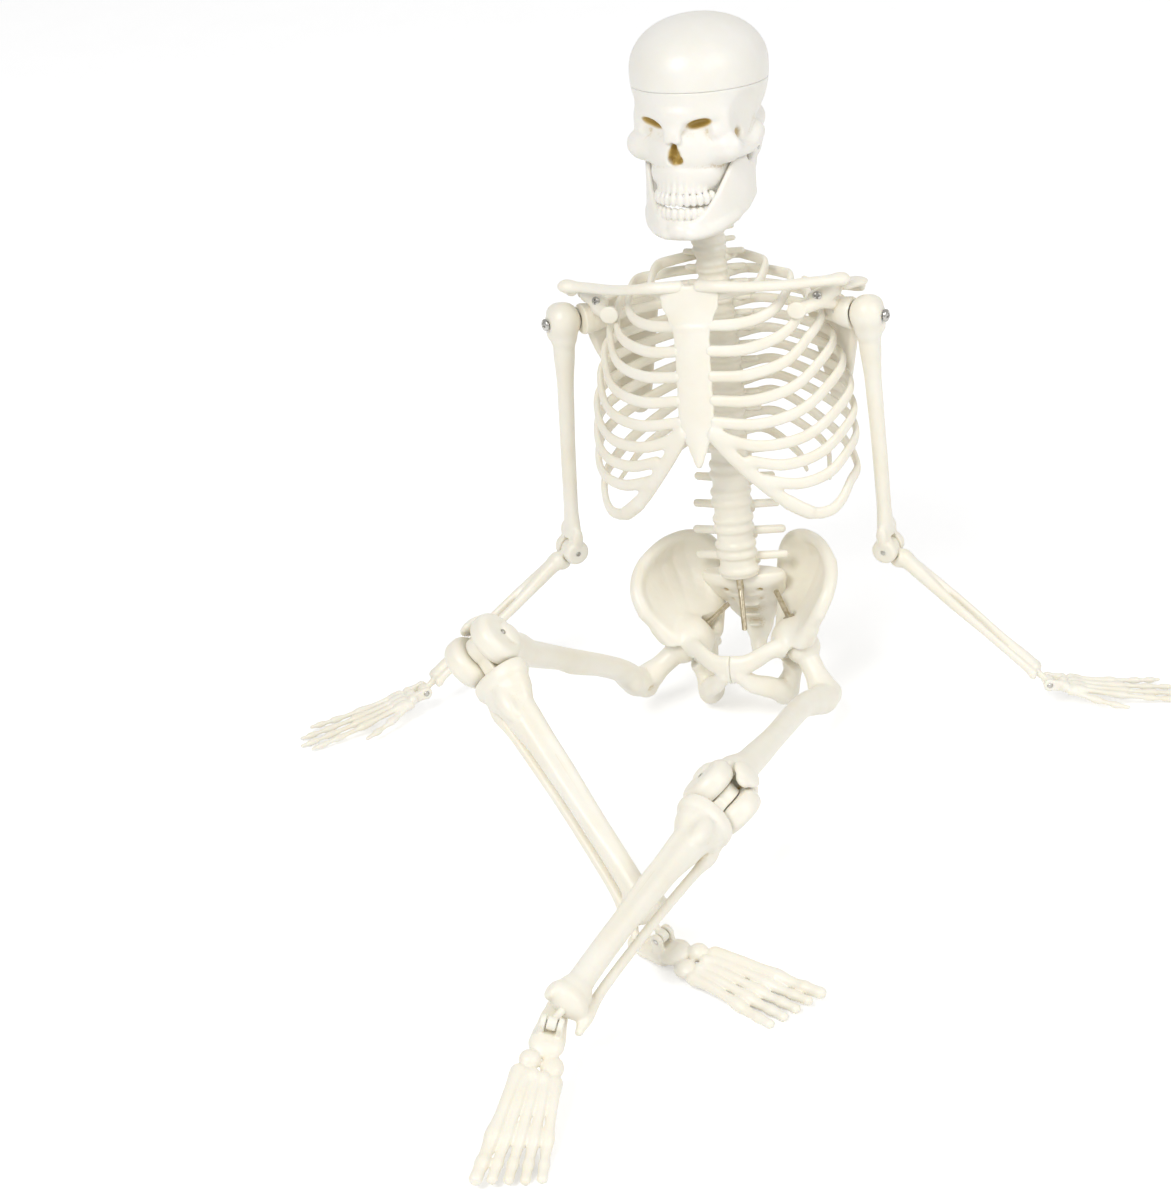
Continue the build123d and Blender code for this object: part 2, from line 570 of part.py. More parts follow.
def humerus():
    low = -HUMERUS
    bone = shaft((
        (4.2, 0, 0, 3.2, 3.2), (-1.5, 0, 0, 5.3, 5.3), (-9.0, 0, 0, 3.6, 3.5),
        (-24.0, 0, 0, 2.7, 2.6), (0.55 * low, 0, 0, 2.5, 2.4), (0.80 * low, 0, 0.2, 2.9, 2.2),
        (0.93 * low, 0, 0.4, 4.4, 2.4), (low + 1.0, 0, 0, 4.6, 3.0),
    ))
    knuckle, slot = fork(ELBOW_WIDE, ELBOW_R, ELBOW_SLOT, ELBOW_R + 0.6, 0.8)
    bone = fused([bone, ball((0, 0, 0), HUMERAL_HEAD_R), Pos(0, 0, low) * knuckle])
    bone = bone - Pos(0, 0, low) * slot
    bone = bone - rod((-20, 0, low), (20, 0, low), PIN_R)
    return bone - rod((0, -20, 0), (0, 20, 0), SCREW_R + RUN)


def radius_ulna():
    """Both forearm bones in one moulding, with the tab of the elbow and the disc of the wrist."""
    low = -FOREARM
    ulna = shaft((
        (-4.9, 0.4, 0, 3.2, 3.0), (-10.0, 0.3, 0, 2.5, 2.3), (-24.0, -1.1, 0, 1.6, 1.7), (-44.0, -1.5, 0, 1.3, 1.4),
        (low + 8.0, -1.8, 0, 1.5, 1.6), (low + WRIST_RISE, -2.0, 0, 1.3, 1.4),
    ))
    radius = shaft((
        (-4.9, 1.2, 0, 2.5, 2.5), (-11.0, 1.6, 0, 1.9, 2.0), (-26.0, 1.9, 0, 1.6, 1.8), (-44.0, 1.7, 0, 1.7, 1.8),
        (low + 9.0, 1.3, 0, 2.4, 2.3), (low + WRIST_RISE, 0.8, 0, 3.0, 2.4),
    ))
    neck = Pos(0, 0, -2.6) * Box(ELBOW_SLOT - 2 * TAB_SIDE, 4.0, 5.2)
    tab = wheel((0, 0, 0), ELBOW_R - 0.5, ELBOW_SLOT - 2 * TAB_SIDE)
    bone = fused([ulna, radius, neck, tab])
    bone = bone - wheel((ELBOW_WIDE / 4 + ELBOW_SLOT / 4, 0, 0), ELBOW_R + GAP, ELBOW_WIDE / 2)
    bone = bone - wheel((-ELBOW_WIDE / 4 - ELBOW_SLOT / 4, 0, 0), ELBOW_R + GAP, ELBOW_WIDE / 2)
    return bone - rod((-20, 0, 0), (20, 0, 0), PIN_R + RUN)


def link_disc(upper, lower, joint, rise):
    """Neck and disc under a bone, square to the axle of the piece hung from it."""
    tip = upper.to_local_coords(joint)
    axle = upper.to_local_coords(joint + lower.x_dir) - tip
    seat = Plane(origin=tip, z_dir=axle)
    thick = EAR_SLOT - 2 * TAB_SIDE
    disc = seat * Cylinder(EAR_R - 0.2, thick)
    neck = rod(tip + Vector(0, 0, rise), tip, LINK_NECK_R, LINK_NECK_R / 2)
    return fused([neck, disc]) - seat * Cylinder(PIN_R + RUN, 3 * thick)


WRIST_RISE = 4.6          # joint centre up to the end of the bone above
ANKLE_RISE = 7.4
LINK_NECK_R = 1.2


def ears(depth):
    """Two small ears over the wrist or ankle axle, joined to a moulding at depth."""
    pair = []
    offset = (EAR_SLOT + EAR_THICK) / 2
    for sign in (-1, 1):
        pair.append(wheel((sign * offset, 0, 0), EAR_R, EAR_THICK))
        pair.append(Pos(sign * offset, 0, -depth / 2) * Box(EAR_THICK, 2 * EAR_R, depth))
    return pair


def ray(start, end, root_r, joints, flat=0.85):
    """Finger or toe: shanks with swollen knuckles at the shares given."""
    start, end = Vector(start), Vector(end)
    stations = [(0.0, 1.0)]
    for share in joints:
        stations += [(share - 0.1, 0.62), (share, 0.92)]
    stations.append((1.0, 0.4))
    rings = []
    for share, size in stations:
        r = root_r * size * (1 - 0.35 * share)
        rings.append(oval(start + (end - start) * share, end - start, (1, 0, 0), r, r * flat, 5))
    return loft(rings, ruled=True)


def hand():
    """Wrist bones and five rays in one flat moulding, thumb on the outer side."""
    palm = shaft(((-3.4, 0, 0, 4.2, 2.2), (-6.5, 0.2, 0, 5.0, 2.4), (-11.0, 0.2, 0, 5.2, 1.9)))
    tips = ((-6.9, 0.86), (-2.7, 0.97), (1.6, 1.0), (6.0, 0.95))
    pieces = [palm]
    for k, (x, share) in enumerate(tips):
        root = (-3.5 + 2.4 * k, 0, -8.0)
        pieces.append(ray(root, (x, 0, -HAND * share), 1.75, (0.42, 0.7)))
    pieces.append(ray((3.6, -0.6, -6.0), (11.2, -1.6, -HAND * 0.56), 1.8, (0.45, 0.75)))
    bone = fused(pieces + ears(4.0))
    return bone - rod((-20, 0, 0), (20, 0, 0), PIN_R)


def femur():
    low = -FEMUR
    a, t = radians(NECK_ANGLE), radians(NECK_TWIST)
    neck_way = Vector(sin(a) * cos(t), sin(a) * sin(t), -cos(a))
    seat = neck_way * 16.5
    top = Vector(seat.X + 0.5, seat.Y, seat.Z)
    bone = shaft((
        (top.Z + 3.6, top.X + 0.6, top.Y, 3.4, 3.8), (top.Z - 1.0, top.X, top.Y, 4.9, 4.9),
        (top.Z - 10.0, top.X * 0.86, top.Y * 0.8, 4.3, 4.4), (-30.0, top.X * 0.62, top.Y * 0.5, 3.7, 3.7),
        (0.52 * low, top.X * 0.38, top.Y * 0.2, 3.6, 3.7), (0.74 * low, top.X * 0.16, 0, 4.3, 4.0),
        (0.87 * low, 0, 0, 6.6, 4.8), (low + 7.2, 0, -0.4, 8.4, 6.4), (low + 3.5, 0, -0.6, 8.8, 6.6),
    ))
    neck = rod(neck_way * 3.0, neck_way * 17.0, 3.7, 4.6)
    head = ball((0, 0, 0), FEMORAL_HEAD_R)
    knuckle, slot = fork(CONDYLE_WIDE, CONDYLE_R, KNEE_SLOT, CONDYLE_R * 0.72, 2.2)
    bone = fused([bone, neck, head, Pos(0, 0, low) * knuckle])
    bone = bone - Pos(0, 0, low) * slot
    bone = bone - rod((-20, 0, low), (20, 0, low), PIN_R)
    return bone - rod(neck_way * -20, neck_way * 12.0, STUD_R)


def patella():
    """Knee cap, glued on the front of the condyles."""
    rings = ((-6.6, 3.6, 4.0), (-8.6, 4.9, 5.3), (-10.6, 3.4, 3.7))
    return loft([oval((0, y, 3.4 - FEMUR), (0, -1, 0), (1, 0, 0), wide, tall, 10) for y, wide, tall in rings], ruled=True)


def tibia_fibula():
    low = -TIBIA
    tibia = shaft((
        (-CONDYLE_R - GAP - 0.2, 0, 0.4, 8.8, 6.6), (-13.0, 0, 0.2, 8.2, 6.2), (-22.0, -0.4, -0.4, 5.4, 4.8),
        (-38.0, -1.2, -0.8, 4.3, 4.2), (0.62 * low, -1.3, -0.6, 3.7, 3.7), (0.82 * low, -0.8, -0.2, 3.9, 3.7),
        (low + ANKLE_RISE + 5.0, -0.2, 0, 5.4, 4.4), (low + ANKLE_RISE, -0.4, 0, 6.2, 4.1),
    ))
    fibula = shaft((
        (-13.5, 7.4, 2.0, 2.2, 2.2), (-18.0, 7.6, 2.2, 2.6, 2.5), (-27.0, 7.0, 2.0, 1.6, 1.7), (-50.0, 6.0, 1.6, 1.6, 1.6),
        (0.78 * low, 5.8, 1.2, 1.6, 1.7), (low + ANKLE_RISE + 3.0, 6.6, 0.8, 2.0, 2.3), (low + ANKLE_RISE - 4.0, 7.6, 0.6, 1.5, 1.7),
    ))
    thick = KNEE_SLOT - 2 * TAB_SIDE
    tab = wheel((0, 0, 0), CONDYLE_R * 0.60, thick)
    neck = Pos(0, 0, -5.4) * Box(thick, 6.4, 9.6)
    bone = fused([tibia, fibula, neck, tab])
    return bone - rod((-20, 0, 0), (20, 0, 0), PIN_R + RUN)


def foot():
    """Heel, instep and five grooved rays in one moulding; the sole lies along -Y."""
    outline = (
        (-0.4, 11.0, -7.6, 3.0, 2.0), (-0.2, 6.0, -7.3, 4.6, 2.5), (0.0, -1.5, -5.8, 5.4, 3.2),
        (0.0, -9.0, -5.6, 7.0, 3.1), (0.2, -18.0, -6.2, 7.8, 2.6),
    )
    instep = loft([oval((x, y, z), (0, -1, 0), (1, 0, 0), wide, tall, 10) for x, y, z, wide, tall in outline], ruled=True)
    pieces = [instep]
    for k in range(5):
        root = (-4.9 + 2.6 * k, -13.0, -5.4)
        tip = (-7.4 + 4.1 * k, -FOOT * (0.97 - 0.025 * k - 0.01 * (k > 3)), -7.4)
        pieces.append(ray(root, tip, 2.9 - 0.2 * (k > 0), (0.62, 0.84), 1.0))
    bone = fused(pieces + ears(4.0))
    return bone - rod((-20, 0, 0), (20, 0, 0), PIN_R)


def axle(half, radius=PIN_R):
    return rod((-half, 0, 0), (half, 0, 0), radius)


def pan_head_screw(seat_plane, reach):
    """Domed head outside, shank inward along -Z of the seat plane."""
    head = Pos(0, 0, reach) * Cylinder(SCREW_HEAD_R, SCREW_HEAD_HIGH, align=(Align.CENTER, Align.CENTER, Align.MIN))
    head = chamfer(head.edges().group_by(Axis.Z)[-1], SCREW_HEAD_HIGH * 0.5)
    shank = Pos(0, 0, -SCREW_LONG) * Cylinder(SCREW_R, SCREW_LONG + reach, align=(Align.CENTER, Align.CENTER, Align.MIN))
    return seat_plane * (head + shank)


# =====================================================================================
# assembly
# =====================================================================================
def assemble():
    nodes = {}
    head_at = TRUNK * Location(HEAD_PIVOT)
    head_at = Location(head_at.position) * Rot(0, 0, HEAD_TURN) * Rot(-HEAD_BACK, 0, 0) * Rot(0, HEAD_SIDE, 0)

    column = vertebral_column()
    breast = sternum()
    collar = rod((0, STAND_Y, STAND_COLLAR), (0, STAND_Y, STAND_TOP), COLLAR_R)
    tail = sacrum() - collar
    neck_way = turned(TRUNK.inverse() * head_at, (0, 0, 1))
    neck_at = (TRUNK.inverse() * head_at * Location((0, NECK_Y, 0))).position
    neck_bore = rod(neck_at - neck_way * NECK_BOLT, neck_at, STUD_R)
    spine = column[0].fuse(*column[1:]) - collar - tail - neck_bore
    nodes["neck_bolt"] = head_at * rod((0, NECK_Y, -NECK_BOLT), (0, NECK_Y, FLOOR_Z + 2.4), STUD_R)
    nodes["neck_nut"] = head_at * hex_nut((0, NECK_Y, FLOOR_Z + RUN), (0, 0, 1), STUD_R)
    nodes["stand_bolt"] = TRUNK * (rod((0, STAND_Y, STAND_FOOT), (0, STAND_Y, STAND_TOP), STUD_R) + collar)
    thoracic = column[LUMBAR_COUNT:LUMBAR_COUNT + THORACIC_COUNT][::-1]
    cage = ribs()
    for k, rib in enumerate(cage):
        cage[k] = rib - thoracic[k] - (breast if k < 7 else cage[k - 1])
    floats = [rib - thoracic[len(RIBS) + k] for k, rib in enumerate(floating_ribs())]
    thigh = femur()
    knee_cap = patella() - thigh
    for side, sign in SIDES.items():
        limbs = LIMBS[side]
        local_stud = turned(TRUNK.inverse(), limbs.stud_way)
        local_stud = Vector(local_stud.X * sign, local_stud.Y, local_stud.Z)
        local_screw = turned(TRUNK.inverse(), limbs.screw_way)
        local_screw = Vector(local_screw.X * sign, local_screw.Y, local_screw.Z)
        nodes[f"ribs_{side}"] = TRUNK * grouped([mirrored(rib, sign) for rib in cage])
        nodes[f"floating_ribs_{side}"] = TRUNK * grouped([mirrored(rib, sign) for rib in floats])
        nodes[f"hip_bone_{side}"] = TRUNK * mirrored(hip_bone(local_stud) - tail, sign)
        nodes[f"scapula_{side}"] = TRUNK * mirrored(scapula(local_screw), sign)
        nodes[f"clavicle_{side}"] = TRUNK * mirrored(clavicle() - breast, sign)
        seat = Plane(origin=limbs.shoulder, z_dir=limbs.screw_way)
        nodes[f"shoulder_screw_{side}"] = pan_head_screw(seat, HUMERAL_HEAD_R + 0.2)
        nodes[f"humerus_{side}"] = limbs.humerus * mirrored(humerus(), sign)
        arm = mirrored(radius_ulna(), sign) + link_disc(limbs.forearm, limbs.hand, limbs.wrist, WRIST_RISE + 0.5)
        nodes[f"radius_ulna_{side}"] = limbs.forearm * arm
        nodes[f"hand_{side}"] = limbs.hand * mirrored(hand(), sign)
        nodes[f"femur_{side}"] = limbs.femur * mirrored(thigh, sign)
        nodes[f"patella_{side}"] = limbs.femur * mirrored(knee_cap, sign)
        shin = mirrored(tibia_fibula(), sign) + link_disc(limbs.shin, limbs.foot, limbs.ankle, ANKLE_RISE + 0.5)
        nodes[f"tibia_fibula_{side}"] = limbs.shin * shin
        nodes[f"foot_{side}"] = limbs.foot * mirrored(foot(), sign)
        stud_start = limbs.hip - limbs.stud_way * STUD_TIP
        nodes[f"hip_stud_{side}"] = rod(stud_start, limbs.hip + limbs.stud_way * 12.0, STUD_R)
        nut_at = limbs.hip - limbs.stud_way * (NUT_FACE + NUT_HIGH + RUN)
        nodes[f"hip_nut_{side}"] = hex_nut(nut_at, limbs.stud_way, STUD_R)
        nodes[f"elbow_pin_{side}"] = limbs.humerus * Pos(0, 0, -HUMERUS) * axle(ELBOW_WIDE / 2)
        nodes[f"knee_pin_{side}"] = limbs.femur * Pos(0, 0, -FEMUR) * axle(CONDYLE_WIDE / 2)
        ear_half = EAR_SLOT / 2 + EAR_THICK
        nodes[f"wrist_pin_{side}"] = limbs.hand * axle(ear_half)
        nodes[f"ankle_pin_{side}"] = limbs.foot * axle(ear_half)
    nodes["sacrum"] = TRUNK * tail
    nodes["vertebral_column"] = TRUNK * spine
    nodes["sternum"] = TRUNK * breast
    nodes["cranium"] = head_at * cranium()
    nodes["skull_cap"] = head_at * skull_cap()
    nodes["mandible"] = head_at * mandible()
    pin = jaw_pin()
    nodes["jaw_pins"] = head_at * grouped([pin, mirror(pin, about=Plane.YZ)])
    return nodes


def resting_point(nodes):
    """Middle of the assembly's footprint, at its lowest level."""
    box = Compound(children=[copy(shape) for shape in nodes.values()]).bounding_box()
    return Vector(box.center().X, box.center().Y, box.min.Z)


STAND_Y = 4.4             # the stand bolt's place, front to back in the trunk
STAND_FOOT = 3.8          # its free end
STAND_COLLAR = 17.8       # where its collar begins, which the stand's tube stops at
STAND_TOP = 36.0          # its end inside the loin
COLLAR_R = 1.15

if __name__ == "__main__":
    os.makedirs("parts", exist_ok=True)
    skeleton = assemble()
    origin = resting_point(skeleton)
    print("origin in the posing frame:", tuple(round(v, 4) for v in origin))
    for name, shape in skeleton.items():
        export_step(Location(origin * -1) * shape, f"parts/{name}.step")
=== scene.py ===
import bpy
import bmesh
import json
import numpy as np
import openvdb
from functools import reduce
from math import cos, sin, radians, pi
from mathutils import Matrix, Vector


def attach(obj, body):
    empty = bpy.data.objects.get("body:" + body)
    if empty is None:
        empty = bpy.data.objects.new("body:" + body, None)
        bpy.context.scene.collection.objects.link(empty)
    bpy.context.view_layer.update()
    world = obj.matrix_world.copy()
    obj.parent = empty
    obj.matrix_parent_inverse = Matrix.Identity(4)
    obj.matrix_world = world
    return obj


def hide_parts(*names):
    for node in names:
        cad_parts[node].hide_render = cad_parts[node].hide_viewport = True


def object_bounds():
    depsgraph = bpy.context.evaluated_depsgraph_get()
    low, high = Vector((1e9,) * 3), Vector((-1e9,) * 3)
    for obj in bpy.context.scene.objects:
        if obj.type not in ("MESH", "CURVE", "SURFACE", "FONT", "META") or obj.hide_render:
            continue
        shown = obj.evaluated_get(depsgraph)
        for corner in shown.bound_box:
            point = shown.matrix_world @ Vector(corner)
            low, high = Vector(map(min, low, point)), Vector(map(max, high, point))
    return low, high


# Small moulded-plastic skeleton, seated with crossed shins.  Bones are shaped as
# signed distances in millimetres, each in its own frame: joint at the origin, bone
# hanging along -Z, front towards -Y, drawn for the left side and mirrored for the right.

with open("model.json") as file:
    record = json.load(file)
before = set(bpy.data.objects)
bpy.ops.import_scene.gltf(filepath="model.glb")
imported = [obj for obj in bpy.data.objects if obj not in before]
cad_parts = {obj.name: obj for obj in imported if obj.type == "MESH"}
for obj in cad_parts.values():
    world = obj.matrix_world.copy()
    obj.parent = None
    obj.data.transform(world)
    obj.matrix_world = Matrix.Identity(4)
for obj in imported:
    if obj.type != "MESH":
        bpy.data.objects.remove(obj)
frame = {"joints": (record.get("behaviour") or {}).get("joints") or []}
CAD_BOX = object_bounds()
MM = 0.001
FAR = 6.0  # distance held by cells that no shape has reached, mm
GRAIN = 0.42  # edge of a cell, mm
HOLLOW_REACH, HOLLOW_GAIN, HOLLOW_BIAS = 2.2, 2.2, 0.1  # width over which a hollow counts, mm; gain and bias
PAINTED_SHADE_FADE = 1.6  # how fast the painted shade round a shaded recess dies away, mm
NO_ZERO = 1e-4  # keeps a slope away from zero

# fits of the hardware, mm: pins and the eyes they turn in, bolts and their holes, balls and their cups
PIN_R, EYE_R, KNEE_EYE_R, JAW_EYE_R = 0.8, 0.86, 1.0, 0.76
BOLT_R, NUT_FLATS, NUT_HOLE = 0.9, 3.6, 0.92
NECK_HOLE_R, STUD_HOLE_R, SCREW_HOLE_R, NUT_ROOM_R = 0.96, 1.12, 1.05, 2.7
BALL_R, HIP_CUP_R, SHOULDER_CUP_R, CUP_MOUTH_R = 5.55, 5.95, 5.9, 7.4
JAW_AXIS = (0, 1.2, 0.6)
SHARP_EDGE = radians(32)  # metal faces that meet more steeply show a crisp edge
NECK_BOLT_AT, STAND_BOLT_AT = (0, 2.0, 0), (0, 4.4, 0)


# =====================================================================================
# clay: distances on a grid
# =====================================================================================
def vec(*values):
    """Array of decimal numbers."""
    return np.array(values, float)


def unit(v):
    """The same way, one long."""
    v = np.asarray(v, float)
    return v / np.linalg.norm(v)


def offset(x, y, z, centre):
    """Cells as seen from a point."""
    return x - centre[0], y - centre[1], z - centre[2]


def along_way(cells, way):
    """How far cells lie along a way."""
    return cells[0] * way[0] + cells[1] * way[1] + cells[2] * way[2]


def rounded(parts, edge):
    """Distance to a body with rounded rims, from the distances past each of its faces."""
    outside = np.sqrt(sum(np.maximum(part, 0) ** 2 for part in parts))
    return outside + np.minimum(reduce(np.maximum, parts), 0) - edge


class Clay:
    """A block of cells that holds the distance to the bone's surface, in millimetres."""

    def __init__(self, low, high, cell=1.0):
        self.cell = GRAIN * cell
        self.low = np.asarray(low, float) - 3 * self.cell
        count = np.ceil((np.asarray(high, float) - self.low) / self.cell).astype(int) + 4
        self.field = np.full(count, FAR, np.float32)
        # spots of painted shade, set by the recesses that get it
        self.painted_shade_spots = []

    def window(self, low, high):
        """Slices of the block that cover a box, or None outside it."""
        first = np.clip(np.floor((low - self.low) / self.cell).astype(int), 0, None)
        last = np.minimum(np.ceil((high - self.low) / self.cell).astype(int) + 1, self.field.shape)
        if (last <= first).any():
            return None
        return tuple(slice(a, b) for a, b in zip(first, last))

    def cells(self, window):
        """Coordinates of the cells in a window."""
        lines = [
            (self.low[k] + self.cell * np.arange(part.start, part.stop)).astype(np.float32)
            for k, part in enumerate(window)
        ]
        return np.meshgrid(*lines, indexing="ij")

    def lump(self, shapes, soft):
        """Window round all the shapes and the nearest of their distances in it."""
        reach = soft + 1.2
        low = np.min([shape[0] for shape in shapes], axis=0) - reach
        high = np.max([shape[1] for shape in shapes], axis=0) + reach
        whole = self.window(low, high)
        if whole is None:
            return None, None
        near = np.full([part.stop - part.start for part in whole], FAR, np.float32)
        for shape_low, shape_high, distance in shapes:
            window = self.window(shape_low - reach, shape_high + reach)
            if window is None:
                continue
            place = tuple(slice(a.start - w.start, a.stop - w.start) for a, w in zip(window, whole))
            near[place] = np.minimum(near[place], distance(*self.cells(window)))
        return whole, near

    def add(self, shapes, soft=0.8):
        """Joins the shapes to the clay; soft is the width of the fillet."""
        window, near = self.lump(shapes, soft)
        if window is not None:
            old = self.field[window]
            blend = np.maximum(soft - np.abs(old - near), 0) / soft
            self.field[window] = np.minimum(old, near) - blend * blend * soft / 4

    def cut(self, shapes, soft=0.3):
        """Takes the shapes away; soft is the width of the rounded brim."""
        window, near = self.lump(shapes, soft)
        if window is not None:
            old = self.field[window]
            blend = np.maximum(soft - np.abs(old + near), 0) / soft
            self.field[window] = np.maximum(old, -near) + blend * blend * soft / 4

    def smooth(self):
        """Rubs the surface with a small even weight on each axis."""
        for axis in range(3):
            f = self.field
            self.field = (np.roll(f, 1, axis) + 2 * f + np.roll(f, -1, axis)) / 4

    def hollows(self, points, reach=HOLLOW_REACH):
        """How far each point lies in a hollow: 0 on open surface, towards 1 in a recess."""
        half = max(1, int(round(reach / self.cell)))
        f = np.clip(self.field, -reach, reach)
        for axis in range(3):
            total = np.cumsum(np.pad(f, [(half + 1, half) if a == axis else (0, 0) for a in range(3)],
                                     mode="edge"), axis=axis)
            upper = np.take(total, range(2 * half + 1, total.shape[axis]), axis=axis)
            lower = np.take(total, range(0, total.shape[axis] - 2 * half - 1), axis=axis)
            f = (upper - lower) / (2 * half + 1)
        at = np.clip(np.rint(points).astype(int), 0, np.array(f.shape) - 1)
        return np.clip(-f[at[:, 0], at[:, 1], at[:, 2]] / reach * HOLLOW_GAIN + HOLLOW_BIAS, 0, 1)

    def paint_shade(self, shapes):
        """Recesses that get painted shade whatever their width."""
        self.painted_shade_spots += shapes

    def fire(self):
        """Points in millimetres, four-sided faces, and the painted shade of each point: its hollow value,
        raised near the painted shade spots.
        """
        grid = openvdb.FloatGrid(FAR)
        grid.copyFromArray(np.ascontiguousarray(self.field, np.float32))
        points, quads = grid.convertToQuads(0.0)
        # painted shade: the deeper a point lies in a hollow, the more ochre shade it gets
        painted_shade = self.hollows(points)
        points = points * self.cell + self.low
        # painted shade spots: ochre shade painted into recesses however narrow
        for low, high, distance in self.painted_shade_spots:
            painted_shade = np.maximum(painted_shade, np.clip(0.5 - distance(*points.astype(np.float32).T) / PAINTED_SHADE_FADE, 0, 1))
        return points, quads, painted_shade


def curve(p0, p1, p2, p3, t):
    """Point between p1 and p2 on a smooth curve through all four."""
    return 0.5 * (2 * p1 + (p2 - p0) * t + (2 * p0 - 5 * p1 + 4 * p2 - p3) * t ** 2
                  + (3 * p1 - p0 - 3 * p2 + p3) * t ** 3)


def oval_run(points, sizes, across=(1, 0, 0), steps=5):
    """Smooth tube through the points; sizes are (half across, half other)."""
    points = [vec(*p) for p in points]
    sizes = [vec(*s) if np.ndim(s) else vec(s, s) for s in sizes]
    ends = [2 * points[0] - points[1]] + points + [2 * points[-1] - points[-2]]
    line, radii = [], []
    for k in range(len(points) - 1):
        p0, p1, p2, p3 = ends[k:k + 4]
        for s in range(steps):
            t = s / steps
            line.append(curve(p0, p1, p2, p3, t))
            ease = t * t * (3 - 2 * t)
            radii.append(sizes[k] * (1 - ease) + sizes[k + 1] * ease)
    line.append(points[-1])
    radii.append(sizes[-1])
    return [piece(line[k], line[k + 1], radii[k], radii[k + 1], across) for k in range(len(line) - 1)]


def piece(a, b, size_a, size_b, across):
    """One straight stretch of an oval tube with rounded ends."""
    way = b - a
    length = np.linalg.norm(way)
    way = way / length
    side = unit(np.asarray(across, float) - way * np.dot(across, way))
    other = np.cross(way, side)
    most = max(size_a.max(), size_b.max())

    def distance(x, y, z):
        cells = offset(x, y, z, a)
        along, u, v = along_way(cells, way), along_way(cells, side), along_way(cells, other)
        share = np.clip(along / length, 0, 1)
        w = size_a[0] + (size_b[0] - size_a[0]) * share
        t = size_a[1] + (size_b[1] - size_a[1]) * share
        over = along - share * length
        m = np.minimum(w, t)
        k0 = np.sqrt((u / w) ** 2 + (v / t) ** 2 + (over / m) ** 2)
        k1 = np.sqrt((u / w ** 2) ** 2 + (v / t ** 2) ** 2 + (over / m ** 2) ** 2) + 1e-6
        return k0 * (k0 - 1) / k1

    return np.minimum(a, b) - most, np.maximum(a, b) + most, distance


def egg(centre, radii, turn=None):
    """Ellipsoid; turn is a 3x3 whose rows are its own axes."""
    centre, radii = vec(*centre), vec(*radii)
    turn = np.eye(3) if turn is None else np.asarray(turn, float)
    reach = np.sqrt(((turn.T * radii) ** 2).sum(axis=1))

    def distance(x, y, z):
        cells = offset(x, y, z, centre)
        q = [along_way(cells, row) for row in turn]
        k0 = np.sqrt(sum((q[k] / radii[k]) ** 2 for k in range(3)))
        k1 = np.sqrt(sum((q[k] / radii[k] ** 2) ** 2 for k in range(3))) + NO_ZERO
        return k0 * (k0 - 1) / k1

    return centre - reach, centre + reach, distance


def tilt(azimuth=0, lean=0, roll=0):
    """Rows of a turned set of axes, degrees: about Z, then X, then Y."""
    turn = Matrix.Rotation(radians(azimuth), 3, "Z") @ Matrix.Rotation(radians(lean), 3, "X")
    turn = turn @ Matrix.Rotation(radians(roll), 3, "Y")
    return np.array(turn.transposed())


def slab(centre, half, edge=0.4, turn=None):
    """Box with rounded edges."""
    centre, half = vec(*centre), vec(*half)
    turn = np.eye(3) if turn is None else np.asarray(turn, float)
    reach = (np.abs(turn.T) * half).sum(axis=1)

    def distance(x, y, z):
        cells = offset(x, y, z, centre)
        return rounded([np.abs(along_way(cells, row)) - (half[k] - edge) for k, row in enumerate(turn)], edge)

    return centre - reach, centre + reach, distance


def wheel(centre, radius, half, edge=1.0, axis=(1, 0, 0)):
    """Disc with rounded rims on an axle."""
    centre, axis = vec(*centre), unit(axis)
    reach = np.sqrt(np.maximum(1 - axis ** 2, 0)) * radius + np.abs(axis) * half

    def distance(x, y, z):
        px, py, pz = cells = offset(x, y, z, centre)
        along = along_way(cells, axis)
        out = np.sqrt(np.maximum(px ** 2 + py ** 2 + pz ** 2 - along ** 2, 0)) - (radius - edge)
        return rounded((out, np.abs(along) - (half - edge)), edge)

    return centre - reach, centre + reach, distance


def bore(start, end, radius):
    """Round hole between two points."""
    middle = (vec(*start) + vec(*end)) / 2
    way = vec(*end) - vec(*start)
    return wheel(middle, radius, np.linalg.norm(way) / 2, 0.02, way)


def leaf(a, b, c, thick):
    """Three-cornered plate of a given half thickness at each corner."""
    corners = a, b, c = vec(*a), vec(*b), vec(*c)
    normal = np.cross(b - a, c - a)
    area = normal @ normal
    flat = unit(normal)

    def distance(x, y, z):
        best, inside = None, True
        weights = []
        for k in range(3):
            p, q = corners[k], corners[(k + 1) % 3]
            edge = q - p
            cells = offset(x, y, z, p)
            share = np.clip(along_way(cells, edge) / (edge @ edge), 0, 1)
            dx, dy, dz = offset(*cells, [share * part for part in edge])
            here = np.sqrt(dx * dx + dy * dy + dz * dz)
            here = here - (thick[k] + (thick[(k + 1) % 3] - thick[k]) * share)
            best = here if best is None else np.minimum(best, here)
            weight = along_way(cells, np.cross(normal, edge)) / area
            weights.append(weight)
            inside = inside & (weight >= 0)
        off = np.abs(along_way(offset(x, y, z, a), flat))
        level = weights[1] * thick[0] + weights[2] * thick[1] + weights[0] * thick[2]
        return np.where(inside, np.minimum(off - level, best), best)

    most = max(thick)
    return np.min(corners, axis=0) - most, np.max(corners, axis=0) + most, distance


